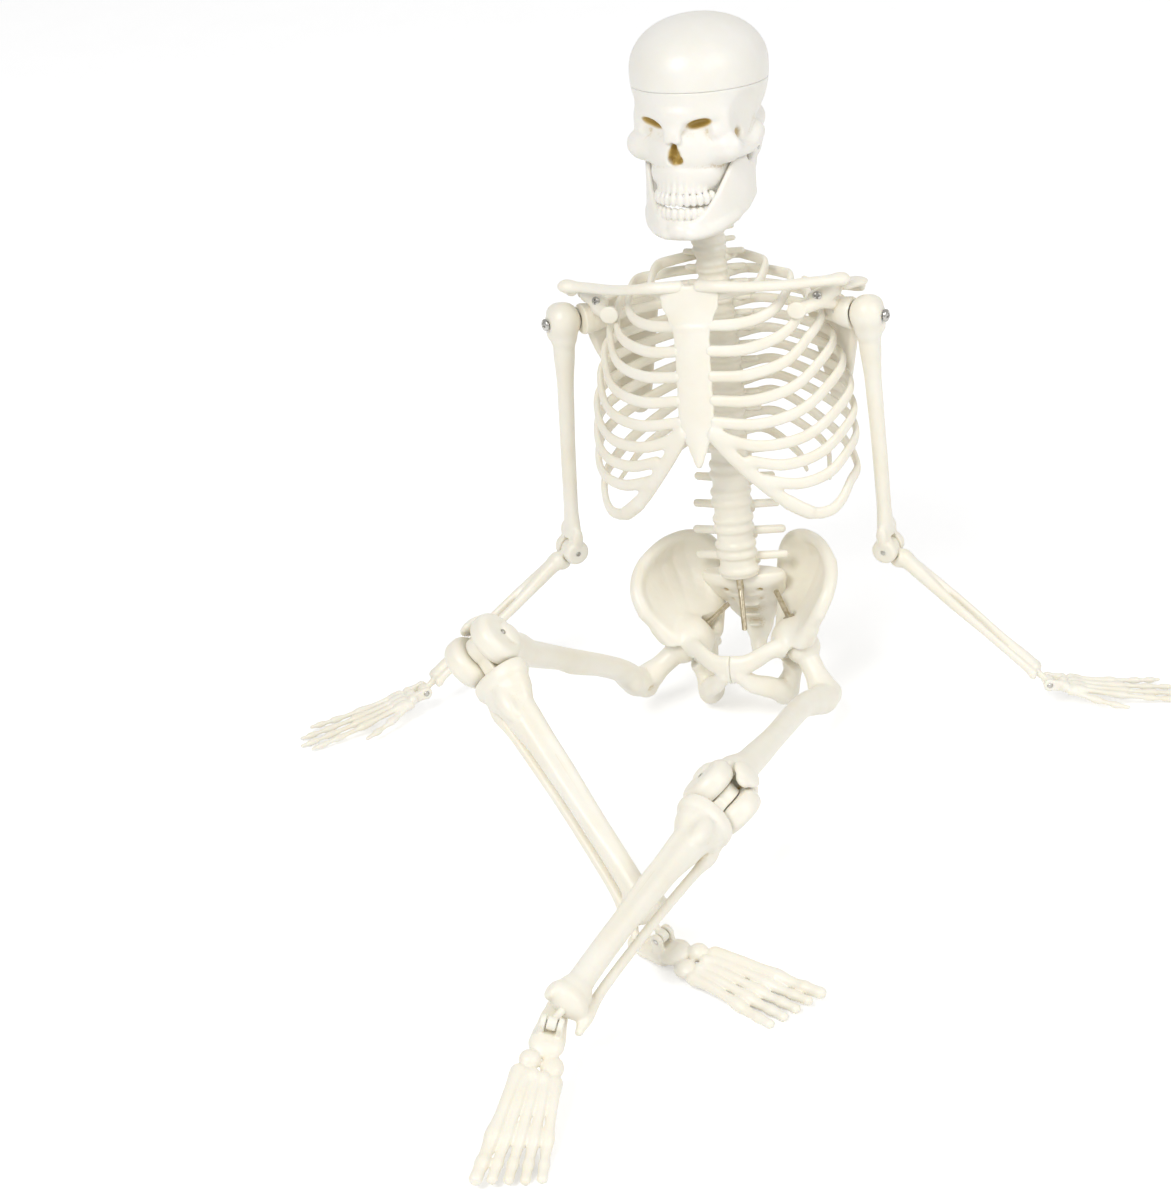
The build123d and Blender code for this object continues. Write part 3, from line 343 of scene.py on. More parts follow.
def curved_plate(rows, thick, steps=4):
    """Plate over a net of points, smoothed; thick gives a half thickness for each point."""
    net = np.array(rows, float)
    depth = np.array(thick, float)[..., None]
    net = np.concatenate([net, depth], axis=2)
    for axis in (0, 1):
        net = refine(net, axis, steps)
    leaves = []
    for i in range(net.shape[0] - 1):
        for j in range(net.shape[1] - 1):
            p, q, r, s = net[i, j], net[i + 1, j], net[i + 1, j + 1], net[i, j + 1]
            leaves.append(leaf(p[:3], q[:3], r[:3], (p[3], q[3], r[3])))
            leaves.append(leaf(p[:3], r[:3], s[:3], (p[3], r[3], s[3])))
    return leaves


def refine(net, axis, steps):
    """Smooth curve through a row of points, along one axis of the net."""
    net = np.moveaxis(net, axis, 0)
    ends = np.concatenate([2 * net[:1] - net[1:2], net, 2 * net[-1:] - net[-2:-1]])
    rows = []
    for k in range(len(net) - 1):
        p0, p1, p2, p3 = ends[k:k + 4]
        for s in range(steps):
            t = s / steps
            rows.append(curve(p0, p1, p2, p3, t))
    rows.append(net[-1])
    return np.moveaxis(np.array(rows), 0, axis)


def both(shapes):
    """The shapes and their mirror images across the middle plane."""
    mirrored = []
    for low, high, distance in shapes:
        flip = (lambda f: lambda x, y, z: f(-x, y, z))(distance)
        mirrored.append((vec(-high[0], low[1], low[2]), vec(-low[0], high[1], high[2]), flip))
    return shapes + mirrored


def drum(centre, half_x, half_y, half_z, edge=0.7):
    """Oval drum that stands along Z, with rounded rims."""
    centre = vec(*centre)
    reach = vec(half_x, half_y, half_z)

    def distance(x, y, z):
        px, py = (x - centre[0]) / half_x, (y - centre[1]) / half_y
        k0 = np.sqrt(px * px + py * py)
        k1 = np.sqrt((px / half_x) ** 2 + (py / half_y) ** 2) + NO_ZERO
        return rounded((k0 * (k0 - 1) / k1 + edge, np.abs(z - centre[2]) - (half_z - edge)), edge)

    return centre - reach, centre + reach, distance


# =====================================================================================
# the chain of joints, as the moulds set it
# =====================================================================================
HUMERUS, FOREARM, HAND = 80.0, 65.7, 44.0
FEMUR, TIBIA, FOOT = 113.4, 99.6, 51.0
HIP_SPREAD, SHOULDER_SPREAD = 39.6, 97.4
SHOULDER_FORWARD, SHOULDER_HEIGHT = 5.1, 105.8
NECK_ANGLE, NECK_TWIST = radians(66.0), radians(10.0)
SACRUM_TOP, LUMBAR_PITCH, THORACIC_PITCH, CERVICAL_PITCH = 22.2, 8.6, 5.05, 3.8
LUMBAR_TOP = SACRUM_TOP + 5 * LUMBAR_PITCH
THORACIC_TOP = LUMBAR_TOP + 12 * THORACIC_PITCH
CERVICAL_TOP = THORACIC_TOP + 7 * CERVICAL_PITCH
HEAD_PIVOT = Vector((0.5, 9.6, CERVICAL_TOP + 5.25))
# azimuth and elevation of every limb bone in the seated pose, degrees
POSE = {
    "right": dict(upper_arm=(146.6, -86.5), forearm=(-154.2, -32.0), hand=(-157.2, -9.5),
                  thigh=(-122.8, 25.4), shin=(-54.2, -36.6), foot=(-40.0, 0.0)),
    "left": dict(upper_arm=(37.7, -87.2), forearm=(-23.5, -38.5), hand=(3.4, -10.5),
                 thigh=(-104.0, 5.9), shin=(-119.1, -8.1), foot=(-104.2, -14.5)),
}
TOP_OF_FOOT = {"right": Vector((-0.11, -0.16, 0.98)), "left": Vector((0.2, -0.4, 0.9))}
SIDES = {"right": -1, "left": 1}


def direction(angles):
    """Way of a bone from its azimuth and elevation, degrees."""
    a, e = radians(angles[0]), radians(angles[1])
    return Vector((cos(a) * cos(e), sin(a) * cos(e), sin(e)))


def axes(origin, x, z):
    """Place with Z as given and X as near as may be to x."""
    z = z.normalized()
    x = (x - z * x.dot(z)).normalized()
    y = z.cross(x)
    place = Matrix((x, y, z)).transposed().to_4x4()
    place.translation = origin
    return place


def turn(angle, axis):
    """Turn in degrees about an axis named by its letter."""
    return Matrix.Rotation(radians(angle), 4, axis)


TRUNK = Matrix.Translation((-2.4, 45.0, 22.2)) @ turn(-17.0, "Z") @ turn(-7.0, "X") @ turn(-4.0, "Y")
HEAD = Matrix.Translation(TRUNK @ HEAD_PIVOT) @ turn(-22.7, "Z") @ turn(-8.3, "X") @ turn(-2.2, "Y")
PLACE = {"trunk": TRUNK}
STUD_WAY, SCREW_WAY = {}, {}
for side, sign in SIDES.items():
    way = {bone: direction(angles) for bone, angles in POSE[side].items()}
    shoulder = TRUNK @ Vector((sign * SHOULDER_SPREAD / 2, SHOULDER_FORWARD, SHOULDER_HEIGHT))
    elbow = shoulder + way["upper_arm"] * HUMERUS
    wrist = elbow + way["forearm"] * FOREARM
    hip = TRUNK @ Vector((sign * HIP_SPREAD / 2, 0, 0))
    knee = hip + way["thigh"] * FEMUR
    ankle = knee + way["shin"] * TIBIA
    elbow_axis = way["forearm"].cross(way["upper_arm"])
    knee_axis = way["thigh"].cross(way["shin"])
    ankle_axis = TOP_OF_FOOT[side].cross(way["foot"])
    PLACE["humerus_" + side] = axes(shoulder, elbow_axis, -way["upper_arm"])
    PLACE["forearm_" + side] = axes(elbow, elbow_axis, -way["forearm"])
    PLACE["hand_" + side] = axes(wrist, way["hand"].cross(Vector((0, 0, 1))), -way["hand"])
    PLACE["femur_" + side] = axes(hip, knee_axis, -way["thigh"])
    PLACE["shin_" + side] = axes(knee, knee_axis, -way["shin"])
    PLACE["foot_" + side] = axes(ankle, ankle_axis, way["foot"].cross(ankle_axis.normalized()))
    neck = Vector((sign * sin(NECK_ANGLE) * cos(NECK_TWIST), sin(NECK_ANGLE) * sin(NECK_TWIST),
                   -cos(NECK_ANGLE)))
    STUD_WAY[side] = PLACE["femur_" + side].to_3x3() @ neck
    SCREW_WAY[side] = PLACE["humerus_" + side].to_3x3() @ Vector((0, -1, 0))

JOINT = {joint["name"]: joint for joint in frame["joints"]}
SHIFT = Vector(JOINT["knee_left"]["pos_m"]) / MM - PLACE["shin_left"].translation
TO_ROW = Matrix.Scale(MM, 4) @ Matrix.Translation(SHIFT)


# =====================================================================================
# from clay to pieces
# =====================================================================================
def finish_piece(name, mesh, material, body, nodes):
    """Puts a mesh in the scene with its material, its body and the nodes it stands for."""
    obj = bpy.data.objects.new(name, mesh)
    bpy.context.scene.collection.objects.link(obj)
    mesh.materials.append(material)
    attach(obj, body)
    if nodes:
        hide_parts(*nodes)


def moulding(name, fired, place, sign, body, material, nodes):
    """Sets fired clay in its place, mirrored for the right side."""
    points, quads, painted_shade = fired
    quads = quads if sign < 0 else quads[:, ::-1]
    matrix = np.array(TO_ROW @ place)
    points = (points * vec(sign, 1, 1)) @ matrix[:3, :3].T + matrix[:3, 3]
    # soles and toe tips would stand up to 0.6 mm past the CAD box: they are pressed flat against it
    points = np.clip(points, *np.array(CAD_BOX))
    mesh = bpy.data.meshes.new(name)
    count, corners = quads.shape
    mesh.vertices.add(len(points))
    mesh.vertices.foreach_set("co", np.ascontiguousarray(points, np.float32).ravel())
    mesh.loops.add(count * corners)
    mesh.loops.foreach_set("vertex_index", np.ascontiguousarray(quads, np.int32).ravel())
    mesh.polygons.add(count)
    mesh.polygons.foreach_set("loop_start", np.arange(0, count * corners, corners, dtype=np.int32))
    mesh.polygons.foreach_set("loop_total", np.full(count, corners, np.int32))
    mesh.polygons.foreach_set("use_smooth", np.ones(count, bool))
    mesh.update(calc_edges=True)
    # painted shade of each point, which the vinyl material turns into ochre in the recesses
    layer = mesh.attributes.new("hollow", "FLOAT", "POINT")
    layer.data.foreach_set("value", np.ascontiguousarray(painted_shade, np.float32))
    finish_piece(name, mesh, material, body, nodes)


# =====================================================================================
# head
# =====================================================================================
CAP_CUT, CAP_WALL = 20.7, 2.4  # height of the cut between cranium and cap, and the cap's thickness
VAULT_MID, VAULT_LINE = 24.6, 1.2  # height of the vault's widest level, and how far back its middle lies


def dome(centre, half_x, half_y, up, down, power=2.15):
    """Egg with a fuller crown: its half height differs above and below the widest level."""
    centre = vec(*centre)
    reach = vec(half_x, half_y, max(up, down))

    def distance(x, y, z):
        px, py, pz = offset(x, y, z, centre)
        tall = np.where(pz > 0, up, down)
        flat = (px / half_x) ** 2 + (py / half_y) ** 2 + 1e-9
        rise = np.abs(pz) / tall
        whole = (flat ** (power / 2) + rise ** power) ** (1 / power)
        k = whole ** (1 - power)
        slope = np.sqrt((k * flat ** (power / 2 - 1)) ** 2 * ((px / half_x ** 2) ** 2
                                                              + (py / half_y ** 2) ** 2)
                        + (k * rise ** (power - 1) / tall) ** 2)
        return whole * (whole - 1) / (slope * whole + NO_ZERO)

    return centre - reach, centre + reach, distance


def vault(shrink=0.0):
    """The crown, from outside or thinned by shrink."""
    return dome((0, VAULT_LINE, VAULT_MID), 20.4 - shrink, 24.9 - shrink, 16.0 - shrink, 23.0 - shrink)


FIRST_TOOTH = 7.0  # degrees from the middle plane to the first crown, then from each crown to the next
TOOTH_STEPS = (13.6, 13.0, 13.4, 13.8, 15.0, 15.0)
TOOTH_WIDE = (1.22, 1.10, 1.16, 1.16, 1.25, 1.35)


def tooth_row(root_z, edge_z, half_wide, deep, centre_y):
    """Crowns round the front half of an oval, broad cutting teeth in the middle."""
    row, angle = [], FIRST_TOOTH
    for k, (wide, step) in enumerate(zip(TOOTH_WIDE, TOOTH_STEPS)):
        a = radians(angle - 90)
        at = (half_wide * cos(a), centre_y + deep * sin(a), (root_z + edge_z) / 2)
        thick = 1.25 if k < 3 else 1.5
        row.append(egg(at, (wide, thick, abs(root_z - edge_z) / 2), tilt(angle)))
        row.append(slab((at[0], at[1], 0.45 * root_z + 0.55 * edge_z),
                        (0.74 * wide, 0.6 * thick, 0.38 * abs(root_z - edge_z)), 0.4, tilt(angle)))
        angle += step
    return both(row)


def tooth_roots(low, high, half_wide, deep, centre_y, proud):
    """The faint upright swellings that the roots raise above the crowns."""
    roots, angle = [], FIRST_TOOTH
    for step in TOOTH_STEPS[:5]:
        a = radians(angle - 90)
        foot = (half_wide * cos(a), centre_y + deep * sin(a), low)
        head = (0.93 * half_wide * cos(a), centre_y + 0.95 * deep * sin(a), high)
        roots += oval_run([foot, head], [proud, 0.6 * proud], steps=3)
        angle += step
    return both(roots)


def cranium_clay():
    """Skull below the cap: face, cheek arches, orbits, upper teeth, and the hollow for the brain."""
    clay = Clay((-21.5, -27, -14.5), (21.5, 28, CAP_CUT + 1), 0.85)
    clay.add([vault(), egg((0, 8.0, 7.6), (16.8, 17.0, 8.4))], 4.0)
    clay.add([egg((0, 6.5, 0.8), (12.5, 13.5, 5.8)), drum((0, 2.0, -1.9), 8.4, 8.4, 1.8, 1.2)], 2.5)
    clay.add([egg((0, -11.6, 3.0), (12.4, 10.2, 10.6)), egg((0, -12.2, 13.6), (14.8, 10.2, 6.0)),
              egg((0, -11.6, -4.6), (11.2, 9.6, 7.6)), egg((0, -9.0, -7.2), (11.2, 8.6, 4.6))], 3.0)
    clay.add(both([egg((12.4, -13.0, 3.6), (6.2, 4.6, 5.2)),
                   egg((13.4, -13.4, 9.4), (2.3, 3.0, 4.8), tilt(0, 8))]
                  + oval_run([(15.6, -13.4, 2.5), (18.0, -8.6, 2.6), (18.6, -3.2, 3.4), (17.8, 2.4, 5.4)],
                             [(2.8, 2.4), (2.4, 1.7), (2.3, 1.6), (2.7, 2.0)], (0, 0, 1))), 2.4)
    clay.add(both([egg((14.6, -4.0, 7.4), (2.7, 9.6, 6.2)), egg((10.2, -5.2, -3.4), (2.8, 5.6, 7.0))]), 2.0)
    clay.add(oval_run([(0, -21.4, 14.0), (0, -21.8, 11.0), (0, -22.6, 8.6), (0, -22.8, 6.6)],
                      [(4.8, 1.8), (3.8, 1.7), (3.2, 1.5), (2.8, 1.1)]), 2.4)
    clay.cut(both([egg((7.6, -23.4, 8.5), (5.0, 4.8, 3.7), tilt(-16, -6, 6)),
                   egg((7.4, -20.2, 11.0), (3.9, 4.0, 1.6), tilt(-16, 10, -10))]), 0.8)
    clay.cut([egg((-1.3, -22.6, 0.3), (1.2, 4.4, 1.5)), egg((1.3, -22.6, 0.3), (1.2, 4.4, 1.5)),
              egg((0, -22.4, 2.0), (1.5, 4.4, 2.0)), egg((0, -22.2, 3.8), (0.9, 4.0, 2.4))], 0.6)
    # painted shade: ochre painted into the slits of the orbits and the nose opening, where shadow falls
    clay.paint_shade(both([egg((7.4, -18.6, 11.2), (4.0, 3.4, 1.7), tilt(-16, 10, -10))])
             + [egg((0, -19.6, 2.0), (2.6, 3.0, 3.6))])
    clay.cut(both([egg((13.4, -18.8, -4.4), (2.9, 4.2, 3.6)),
                   egg((16.0, -9.4, 7.0), (1.7, 2.6, 1.5), tilt(30))]), 1.2)
    clay.cut(both([egg((19.4, -7.0, 11.4), (3.3, 8.4, 7.8), tilt(-14))]), 1.4)
    clay.add(both([egg((11.6, -15.6, 8.6), (2.2, 2.6, 2.4))]), 1.4)
    clay.cut([egg((0, -9.6, -12.0), (6.2, 7.6, 4.2))], 1.0)
    clay.add(both(
        oval_run([(15.6, 4.4, 4.8), (13.4, 8.2, -0.5), (12.6, 8.6, -3.8)],
                 [(3.2, 3.2), (2.7, 3.4), (1.6, 2.0)])
        + oval_run([(5.4, -8.6, -1.0), (5.9, -6.6, -7.0)], [(0.8, 2.2), (0.7, 1.5)])
        + [egg((4.9, -0.2, -3.2), (2.3, 3.2, 1.2))]
    ), 1.2)
    clay.add(tooth_roots(-9.4, -5.0, 8.2, 8.3, -12.6, 0.95), 0.8)
    clay.cut(both([bore((15.5, 4.8, 3.4), (20.5, 4.8, 3.4), 0.9), egg((16.4, 1.2, 0.2), (4.2, 3.0, 2.9))]),
             0.4)
    clay.smooth()
    clay.add(tooth_row(-9.6, -13.7, 8.7, 8.9, -12.6), 0.15)
    clay.cut([dome((0, VAULT_LINE, VAULT_MID), 18.0, 22.5, 13.6, 12.0),
              egg((0, 7.5, 10.0), (14.4, 14.4, 7.4))], 1.0)
    clay.cut([bore((0, 2.0, -8), (0, 2.0, 4), NECK_HOLE_R), slab((0, 0, CAP_CUT + 10), (60, 60, 10), 0.05)],
             0.15)
    return clay


def skull_cap_clay():
    """The lift-off crown, a shell of even thickness."""
    clay = Clay((-21.5, -25, CAP_CUT - 1), (21.5, 28, 42), 0.85)
    clay.add([vault()], 3.0)
    clay.cut([vault(CAP_WALL)], 0.5)
    clay.cut([slab((0, 0, CAP_CUT - 10), (60, 60, 10), 0.05)], 0.15)
    return clay


def mandible_clay():
    """Lower jaw: a curved plate, the thick lower border, condyles and teeth."""
    clay = Clay((-19.5, -24.5, -24.5), (19.5, 4, 3.5), 0.85)
    line = ((0, -20.5), (5.8, -19.4), (10.0, -15.8), (12.4, -12.2), (14.0, -9.0), (15.5, -4.4), (16.1, 0.6))
    foot = (-21.6, -21.4, -20.6, -19.0, -18.0, -16.2, -13.2)
    brim = (-18.9, -18.7, -12.8, -6.6, -2.0, -1.6, -1.4)
    rows = [[(x, y, low + (top - low) * share) for (x, y), low, top in zip(line, foot, brim)]
            for share in (0, 0.34, 0.67, 1)]
    thick = [[1.9, 1.8, 1.6, 1.5, 1.3, 1.2, 1.0], [1.7, 1.6, 1.5, 1.2, 1.0, 0.9, 0.9],
             [1.5, 1.5, 1.3, 1.0, 0.9, 0.8, 0.9], [1.4, 1.4, 1.1, 0.9, 0.8, 0.8, 1.0]]
    clay.add(both(curved_plate(rows, thick, 3)), 1.0)
    clay.add(both(oval_run([(0, -20.4, -21.8), (5.6, -19.6, -21.6), (10.6, -15.0, -20.2),
                            (13.8, -9.4, -18.0)],
                           [(2.0, 1.9), (2.0, 1.9), (1.9, 1.8), (1.7, 1.5)], (0, 0, 1))
                  + [egg((3.6, -21.2, -22.0), (2.6, 1.6, 1.7))]) + [egg((0, -21.7, -21.0), (3.6, 1.6, 2.2))],
             1.6)
    neck = oval_run([(16.1, 0.4, -4.0), (16.2, 1.2, 0.4)], [(1.7, 1.1), (1.7, 1.9)], (0, 1, 0))
    clay.add(both(neck + [egg((16.2, 1.2, 0.6), (2.1, 2.1, 2.1))]), 1.2)
    clay.cut(both([egg((15.9, -2.3, -0.9), (3.0, 1.4, 1.9))]), 0.6)
    clay.smooth()
    clay.add(tooth_row(-18.0, -13.9, 8.5, 8.8, -12.4), 0.15)
    clay.cut([bore((-25, *JAW_AXIS[1:]), (25, *JAW_AXIS[1:]), JAW_EYE_R)], 0.1)
    return clay


# =====================================================================================
# trunk
# =====================================================================================
def spine_y(z):
    """How far back the middle of the spine lies at a height: the two bends of the column."""
    u = (z - SACRUM_TOP) / (CERVICAL_TOP - SACRUM_TOP)
    return 5.0 + 4.6 * u + 4.4 * sin(2 * pi * (u - 0.28)) * sin(pi * u)


def vertebra(clay, base, pitch, radius, reach, spine_reach, kind):
    """Waisted body on its disc, arch, wings and the spine behind."""
    middle = base + 0.5 * pitch
    y = spine_y(middle)
    body_y = radius * 0.86
    rim = pitch * (0.13 if kind != "neck" else 0.16)
    clay.add([drum((0, spine_y(base + 0.24 * pitch), base + 0.24 * pitch), radius, body_y, rim, rim * 0.8),
              drum((0, spine_y(base + 0.88 * pitch), base + 0.88 * pitch), radius, body_y, rim, rim * 0.8)],
             0.25)
    clay.add([drum((0, y, base + 0.56 * pitch), radius * 0.86, body_y * 0.86, pitch * 0.34, 0.3)], 0.7)
    clay.add([drum((0, spine_y(base), base + 0.02 * pitch), radius * 0.90, body_y * 0.90, pitch * 0.16, 0.3)],
             0.2)
    back = y + radius * 0.62
    wing_z = middle + 0.40 * pitch - 0.4
    thick = {"loin": 1.3, "chest": 1.0, "neck": 0.9}[kind]
    if kind == "loin":
        wing_z = middle + 0.10 * pitch
    wing = oval_run([(radius * 0.30, back - 0.6, wing_z - 0.4), (radius * 0.85, back - 0.2, wing_z),
                     (reach - 0.9, y + 0.8 * radius, wing_z)],
                    [(thick * 1.3, thick * 1.4), (thick, thick * 1.1), (thick * 0.9, thick * 1.05)])
    arch = oval_run([(radius * 0.45, back - 0.6, middle), (radius * 0.55, back + 2.2, middle - 0.1 * pitch),
                     (0, back + 4.4, middle - 0.2 * pitch)],
                    [(thick, pitch * 0.26)] * 3, (0, 1, 0))
    facet = egg((radius * 0.50, back + 1.8, base + 0.98 * pitch), (thick * 0.9, thick, pitch * 0.3))
    clay.add(both(wing + arch + [facet]), 0.6)
    tip_z = middle - (0.52 if kind != "loin" else 0.34) * pitch
    tall = {"loin": 0.27, "chest": 0.20, "neck": 0.20}[kind] * pitch
    clay.add(oval_run([(0, back + 3.0, middle - 0.1 * pitch), (0, y + spine_reach - 1.2, tip_z)],
                      [(0.7, tall), (0.75, tall * 1.05)], (1, 0, 0)), 0.5)


def column_clay():
    """Twenty-four vertebrae in one mould."""
    clay = Clay((-15, -6, SACRUM_TOP - 1), (15, 30, CERVICAL_TOP + 1), 0.95)
    for k in range(5):
        vertebra(clay, SACRUM_TOP + k * LUMBAR_PITCH, LUMBAR_PITCH, 6.6, 15.0 - max(0, k - 1), 14.5, "loin")
    for k in range(12):
        vertebra(clay, LUMBAR_TOP + k * THORACIC_PITCH, THORACIC_PITCH, 6.1 - 0.1 * k, 10.0, 13.5, "chest")
    for k in range(7):
        vertebra(clay, THORACIC_TOP + k * CERVICAL_PITCH, CERVICAL_PITCH, 5.5 - 0.05 * k, 7.6, 10.0, "neck")
    clay.smooth()
    clay.cut([slab((0, 5, SACRUM_TOP - 10), (30, 40, 10), 0.05),
              slab((0, 5, CERVICAL_TOP + 10), (30, 40, 10), 0.05)], 0.1)
    return clay


def sternum_y(z):
    """The breastbone leans forward towards its tip."""
    return -16.0 - 8.0 * (120.0 - z) / 53.0


def sternum_clay():
    """Breastbone with notches for the rib ends."""
    clay = Clay((-11, -28, 64), (11, -12, 124), 0.9)
    outline = ((121.4, 6.6), (119.0, 9.4), (115.5, 9.0), (111.5, 7.2), (107.5, 6.0), (100.0, 5.6),
               (92.0, 5.8), (84.0, 6.0), (79.5, 5.7), (76.0, 4.4), (72.5, 2.9), (69.5, 1.8), (67.6, 1.0))
    clay.add(oval_run([(0, sternum_y(z), z) for z, w in outline], [(w, 1.5) for z, w in outline]), 0.5)
    clay.cut([egg((0, -15.4, 123.0), (3.0, 3, 1.5))], 0.8)
    clay.add([egg((0, sternum_y(109) - 0.5, 109), (5.6, 1.3, 0.9))], 0.9)
    for z in (105.4, 97.8, 90.4, 83.6):
        clay.cut(both([egg((6.8, sternum_y(z), z), (1.0, 3, 1.9))]), 0.9)
    clay.smooth()
    return clay


# half width of each arch, then its front part from the side forwards
RIBS = (
    (17.5, ((16.8, -2.0, 117.4), (13.4, -8.6, 117.8), (8.4, -14.6, 118.0))),
    (25.0, ((24.2, -2.6, 112.4), (20.4, -9.4, 109.8), (13.6, -14.4, 108.9), (5.2, -17.4, 109.4))),
    (30.0, ((28.6, -2.4, 106.6), (24.2, -10.0, 103.2), (15.0, -16.0, 101.3), (5.0, -18.6, 101.8))),
    (33.6, ((31.2, -2.4, 100.4), (26.2, -11.0, 95.9), (16.0, -17.4, 93.8), (5.2, -19.8, 94.2))),
    (36.4, ((33.8, -2.4, 92.4), (27.8, -12.0, 88.0), (17.0, -18.6, 86.1), (5.2, -20.9, 87.0))),
    (38.6, ((36.0, -2.4, 85.2), (29.6, -12.6, 80.8), (18.4, -19.4, 79.0), (5.2, -21.8, 80.6))),
    (40.4, ((38.0, -2.6, 77.4), (31.0, -12.8, 73.0), (20.4, -18.8, 72.0), (11.6, -21.4, 74.0),
            (4.4, -22.4, 77.8))),
    (40.8, ((39.2, -2.0, 70.6), (33.6, -11.2, 66.6), (24.4, -16.6, 65.2), (14.6, -19.8, 67.6))),
    (40.8, ((39.8, -1.6, 63.6), (35.6, -9.0, 59.8), (27.8, -14.2, 58.4), (18.4, -17.4, 60.6))),
    (40.2, ((39.8, 1.0, 54.0), (37.8, -4.4, 49.6), (34.6, -8.0, 47.5), (29.4, -10.8, 48.0),
            (24.2, -14.0, 52.2))),
)
COSTAL_MARGIN = ((4.6, -22.4, 76.6), (10.4, -21.0, 68.8), (16.6, -18.2, 60.8), (23.4, -14.4, 53.0),
                 (29.6, -11.2, 48.4))
# half width, fall from the spine to the tip, and how far back the tip lies
FLOATING_RIBS = ((34.0, 17.0, -1.0), (24.0, 12.5, 9.0))


def rib_level(number):
    """Height at which a rib leaves the spine, counted from the neck."""
    return THORACIC_TOP - (number - 0.5) * THORACIC_PITCH


def ribs_clay():
    """Ten arches of one side with the gristle that joins them to the breastbone."""
    clay = Clay((2, -26, 40), (46, 24, 124), 0.95)
    for k, (half, front) in enumerate(RIBS):
        z = rib_level(k + 1)
        y = spine_y(z)
        back = y + 7.0 + 4.0 * half / 42.0
        side_y = 0.4 * back + 0.6
        side_z = front[0][2] + 0.42 * (side_y - front[0][1])
        points = ((4.0, y + 2.0, z), (0.34 * half, back, z - 0.5),
                  (0.80 * half, back - 5.0, 0.42 * z + 0.58 * side_z), (half, side_y, side_z)) + front
        sizes = [(1.5, 1.2), (1.6, 1.2), (1.75, 1.1),
                 (1.85, 1.05)] + [(1.9, 1.1)] * (len(front) - 1) + [(1.8, 1.25)]
        clay.add(oval_run(points, sizes, (0, 0, 1), 7), 0.8)
    clay.add(oval_run(COSTAL_MARGIN, [(2.0, 1.3), (2.2, 1.3), (2.2, 1.3), (2.2, 1.3), (1.9, 1.2)],
                      (0.5, 0, 0.8), 6), 1.6)
    clay.smooth()
    return clay


def floating_ribs_clay():
    """The two short ribs that end free."""
    clay = Clay((2, -4, 40), (37, 24, 76), 0.95)
    for k, (half, fall, end_y) in enumerate(FLOATING_RIBS):
        z = rib_level(11 + k)
        y = spine_y(z)
        points = ((4.0, y + 1.5, z), (0.4 * half, y + 9.5, z - 1.5), (0.85 * half, y + 4.5, z - 0.6 * fall),
                  (half, end_y, z - fall))
        clay.add(oval_run(points, [(1.4, 1.0), (1.6, 1.0), (1.5, 0.95), (0.9, 0.7)], (0, 0, 1), 8), 0.6)
    clay.smooth()
    return clay


def clavicle_clay():
    """Collar bone, bent twice."""
    clay = Clay((1, -21, 114), (48, 2, 127), 0.95)
    x0 = SHOULDER_SPREAD / 2
    points = ((3.4, -15.8, 121.2), (10.0, -17.2, 121.3), (18.0, -15.8, 120.6), (27.0, -10.4, 119.4),
              (36.0, -4.8, 118.8), (x0 - 4.6, -2.0, 118.8))
    clay.add(oval_run(points, [(2.3, 1.9), (1.9, 1.8), (1.6, 1.6), (1.6, 1.6), (2.0, 1.6), (2.4, 1.7)],
                      (0, 1, 0), 7), 0.5)
    clay.add([egg((x0 - 5.4, -2.6, 118.9), (3.0, 2.7, 1.9))], 1.0)
    clay.smooth()
    return clay


def sacrum_clay():
    """Sacrum and tail, with four pairs of holes."""
    clay = Clay((-16, 2, -13), (16, 28, 24), 0.95)
    clay.add(oval_run([(0, 9.4, 20.4), (0, 13.2, 15.6), (0, 17.8, 8.6), (0, 19.8, 1.4), (0, 18.0, -5.0),
                       (0, 14.4, -9.6)],
                      [(13.8, 5.2), (12.4, 5.0), (9.0, 3.9), (5.2, 2.6), (2.8, 1.8), (1.3, 1.1)]), 0.5)
    for k in range(4):
        z, y, x = 16.5 - 4.3 * k, 10.8 + 2.6 * k, 5.6 - 0.8 * k
        clay.cut(both([egg((x, y - 4.2, z), (1.0 - 0.1 * k, 1.7, 0.8 - 0.05 * k))]), 0.9)
        clay.add([egg((0, 18.6 + 1.3 * k, z - 0.3), (0.9, 2.2, 1.6)),
                  egg((0, y - 2.6, z - 2.2), (5.0 - 0.8 * k, 0.9, 0.5))], 0.8)
    clay.cut([slab((0, 5, SACRUM_TOP + 10), (30, 40, 10), 0.05)], 0.1)
    clay.smooth()
    return clay


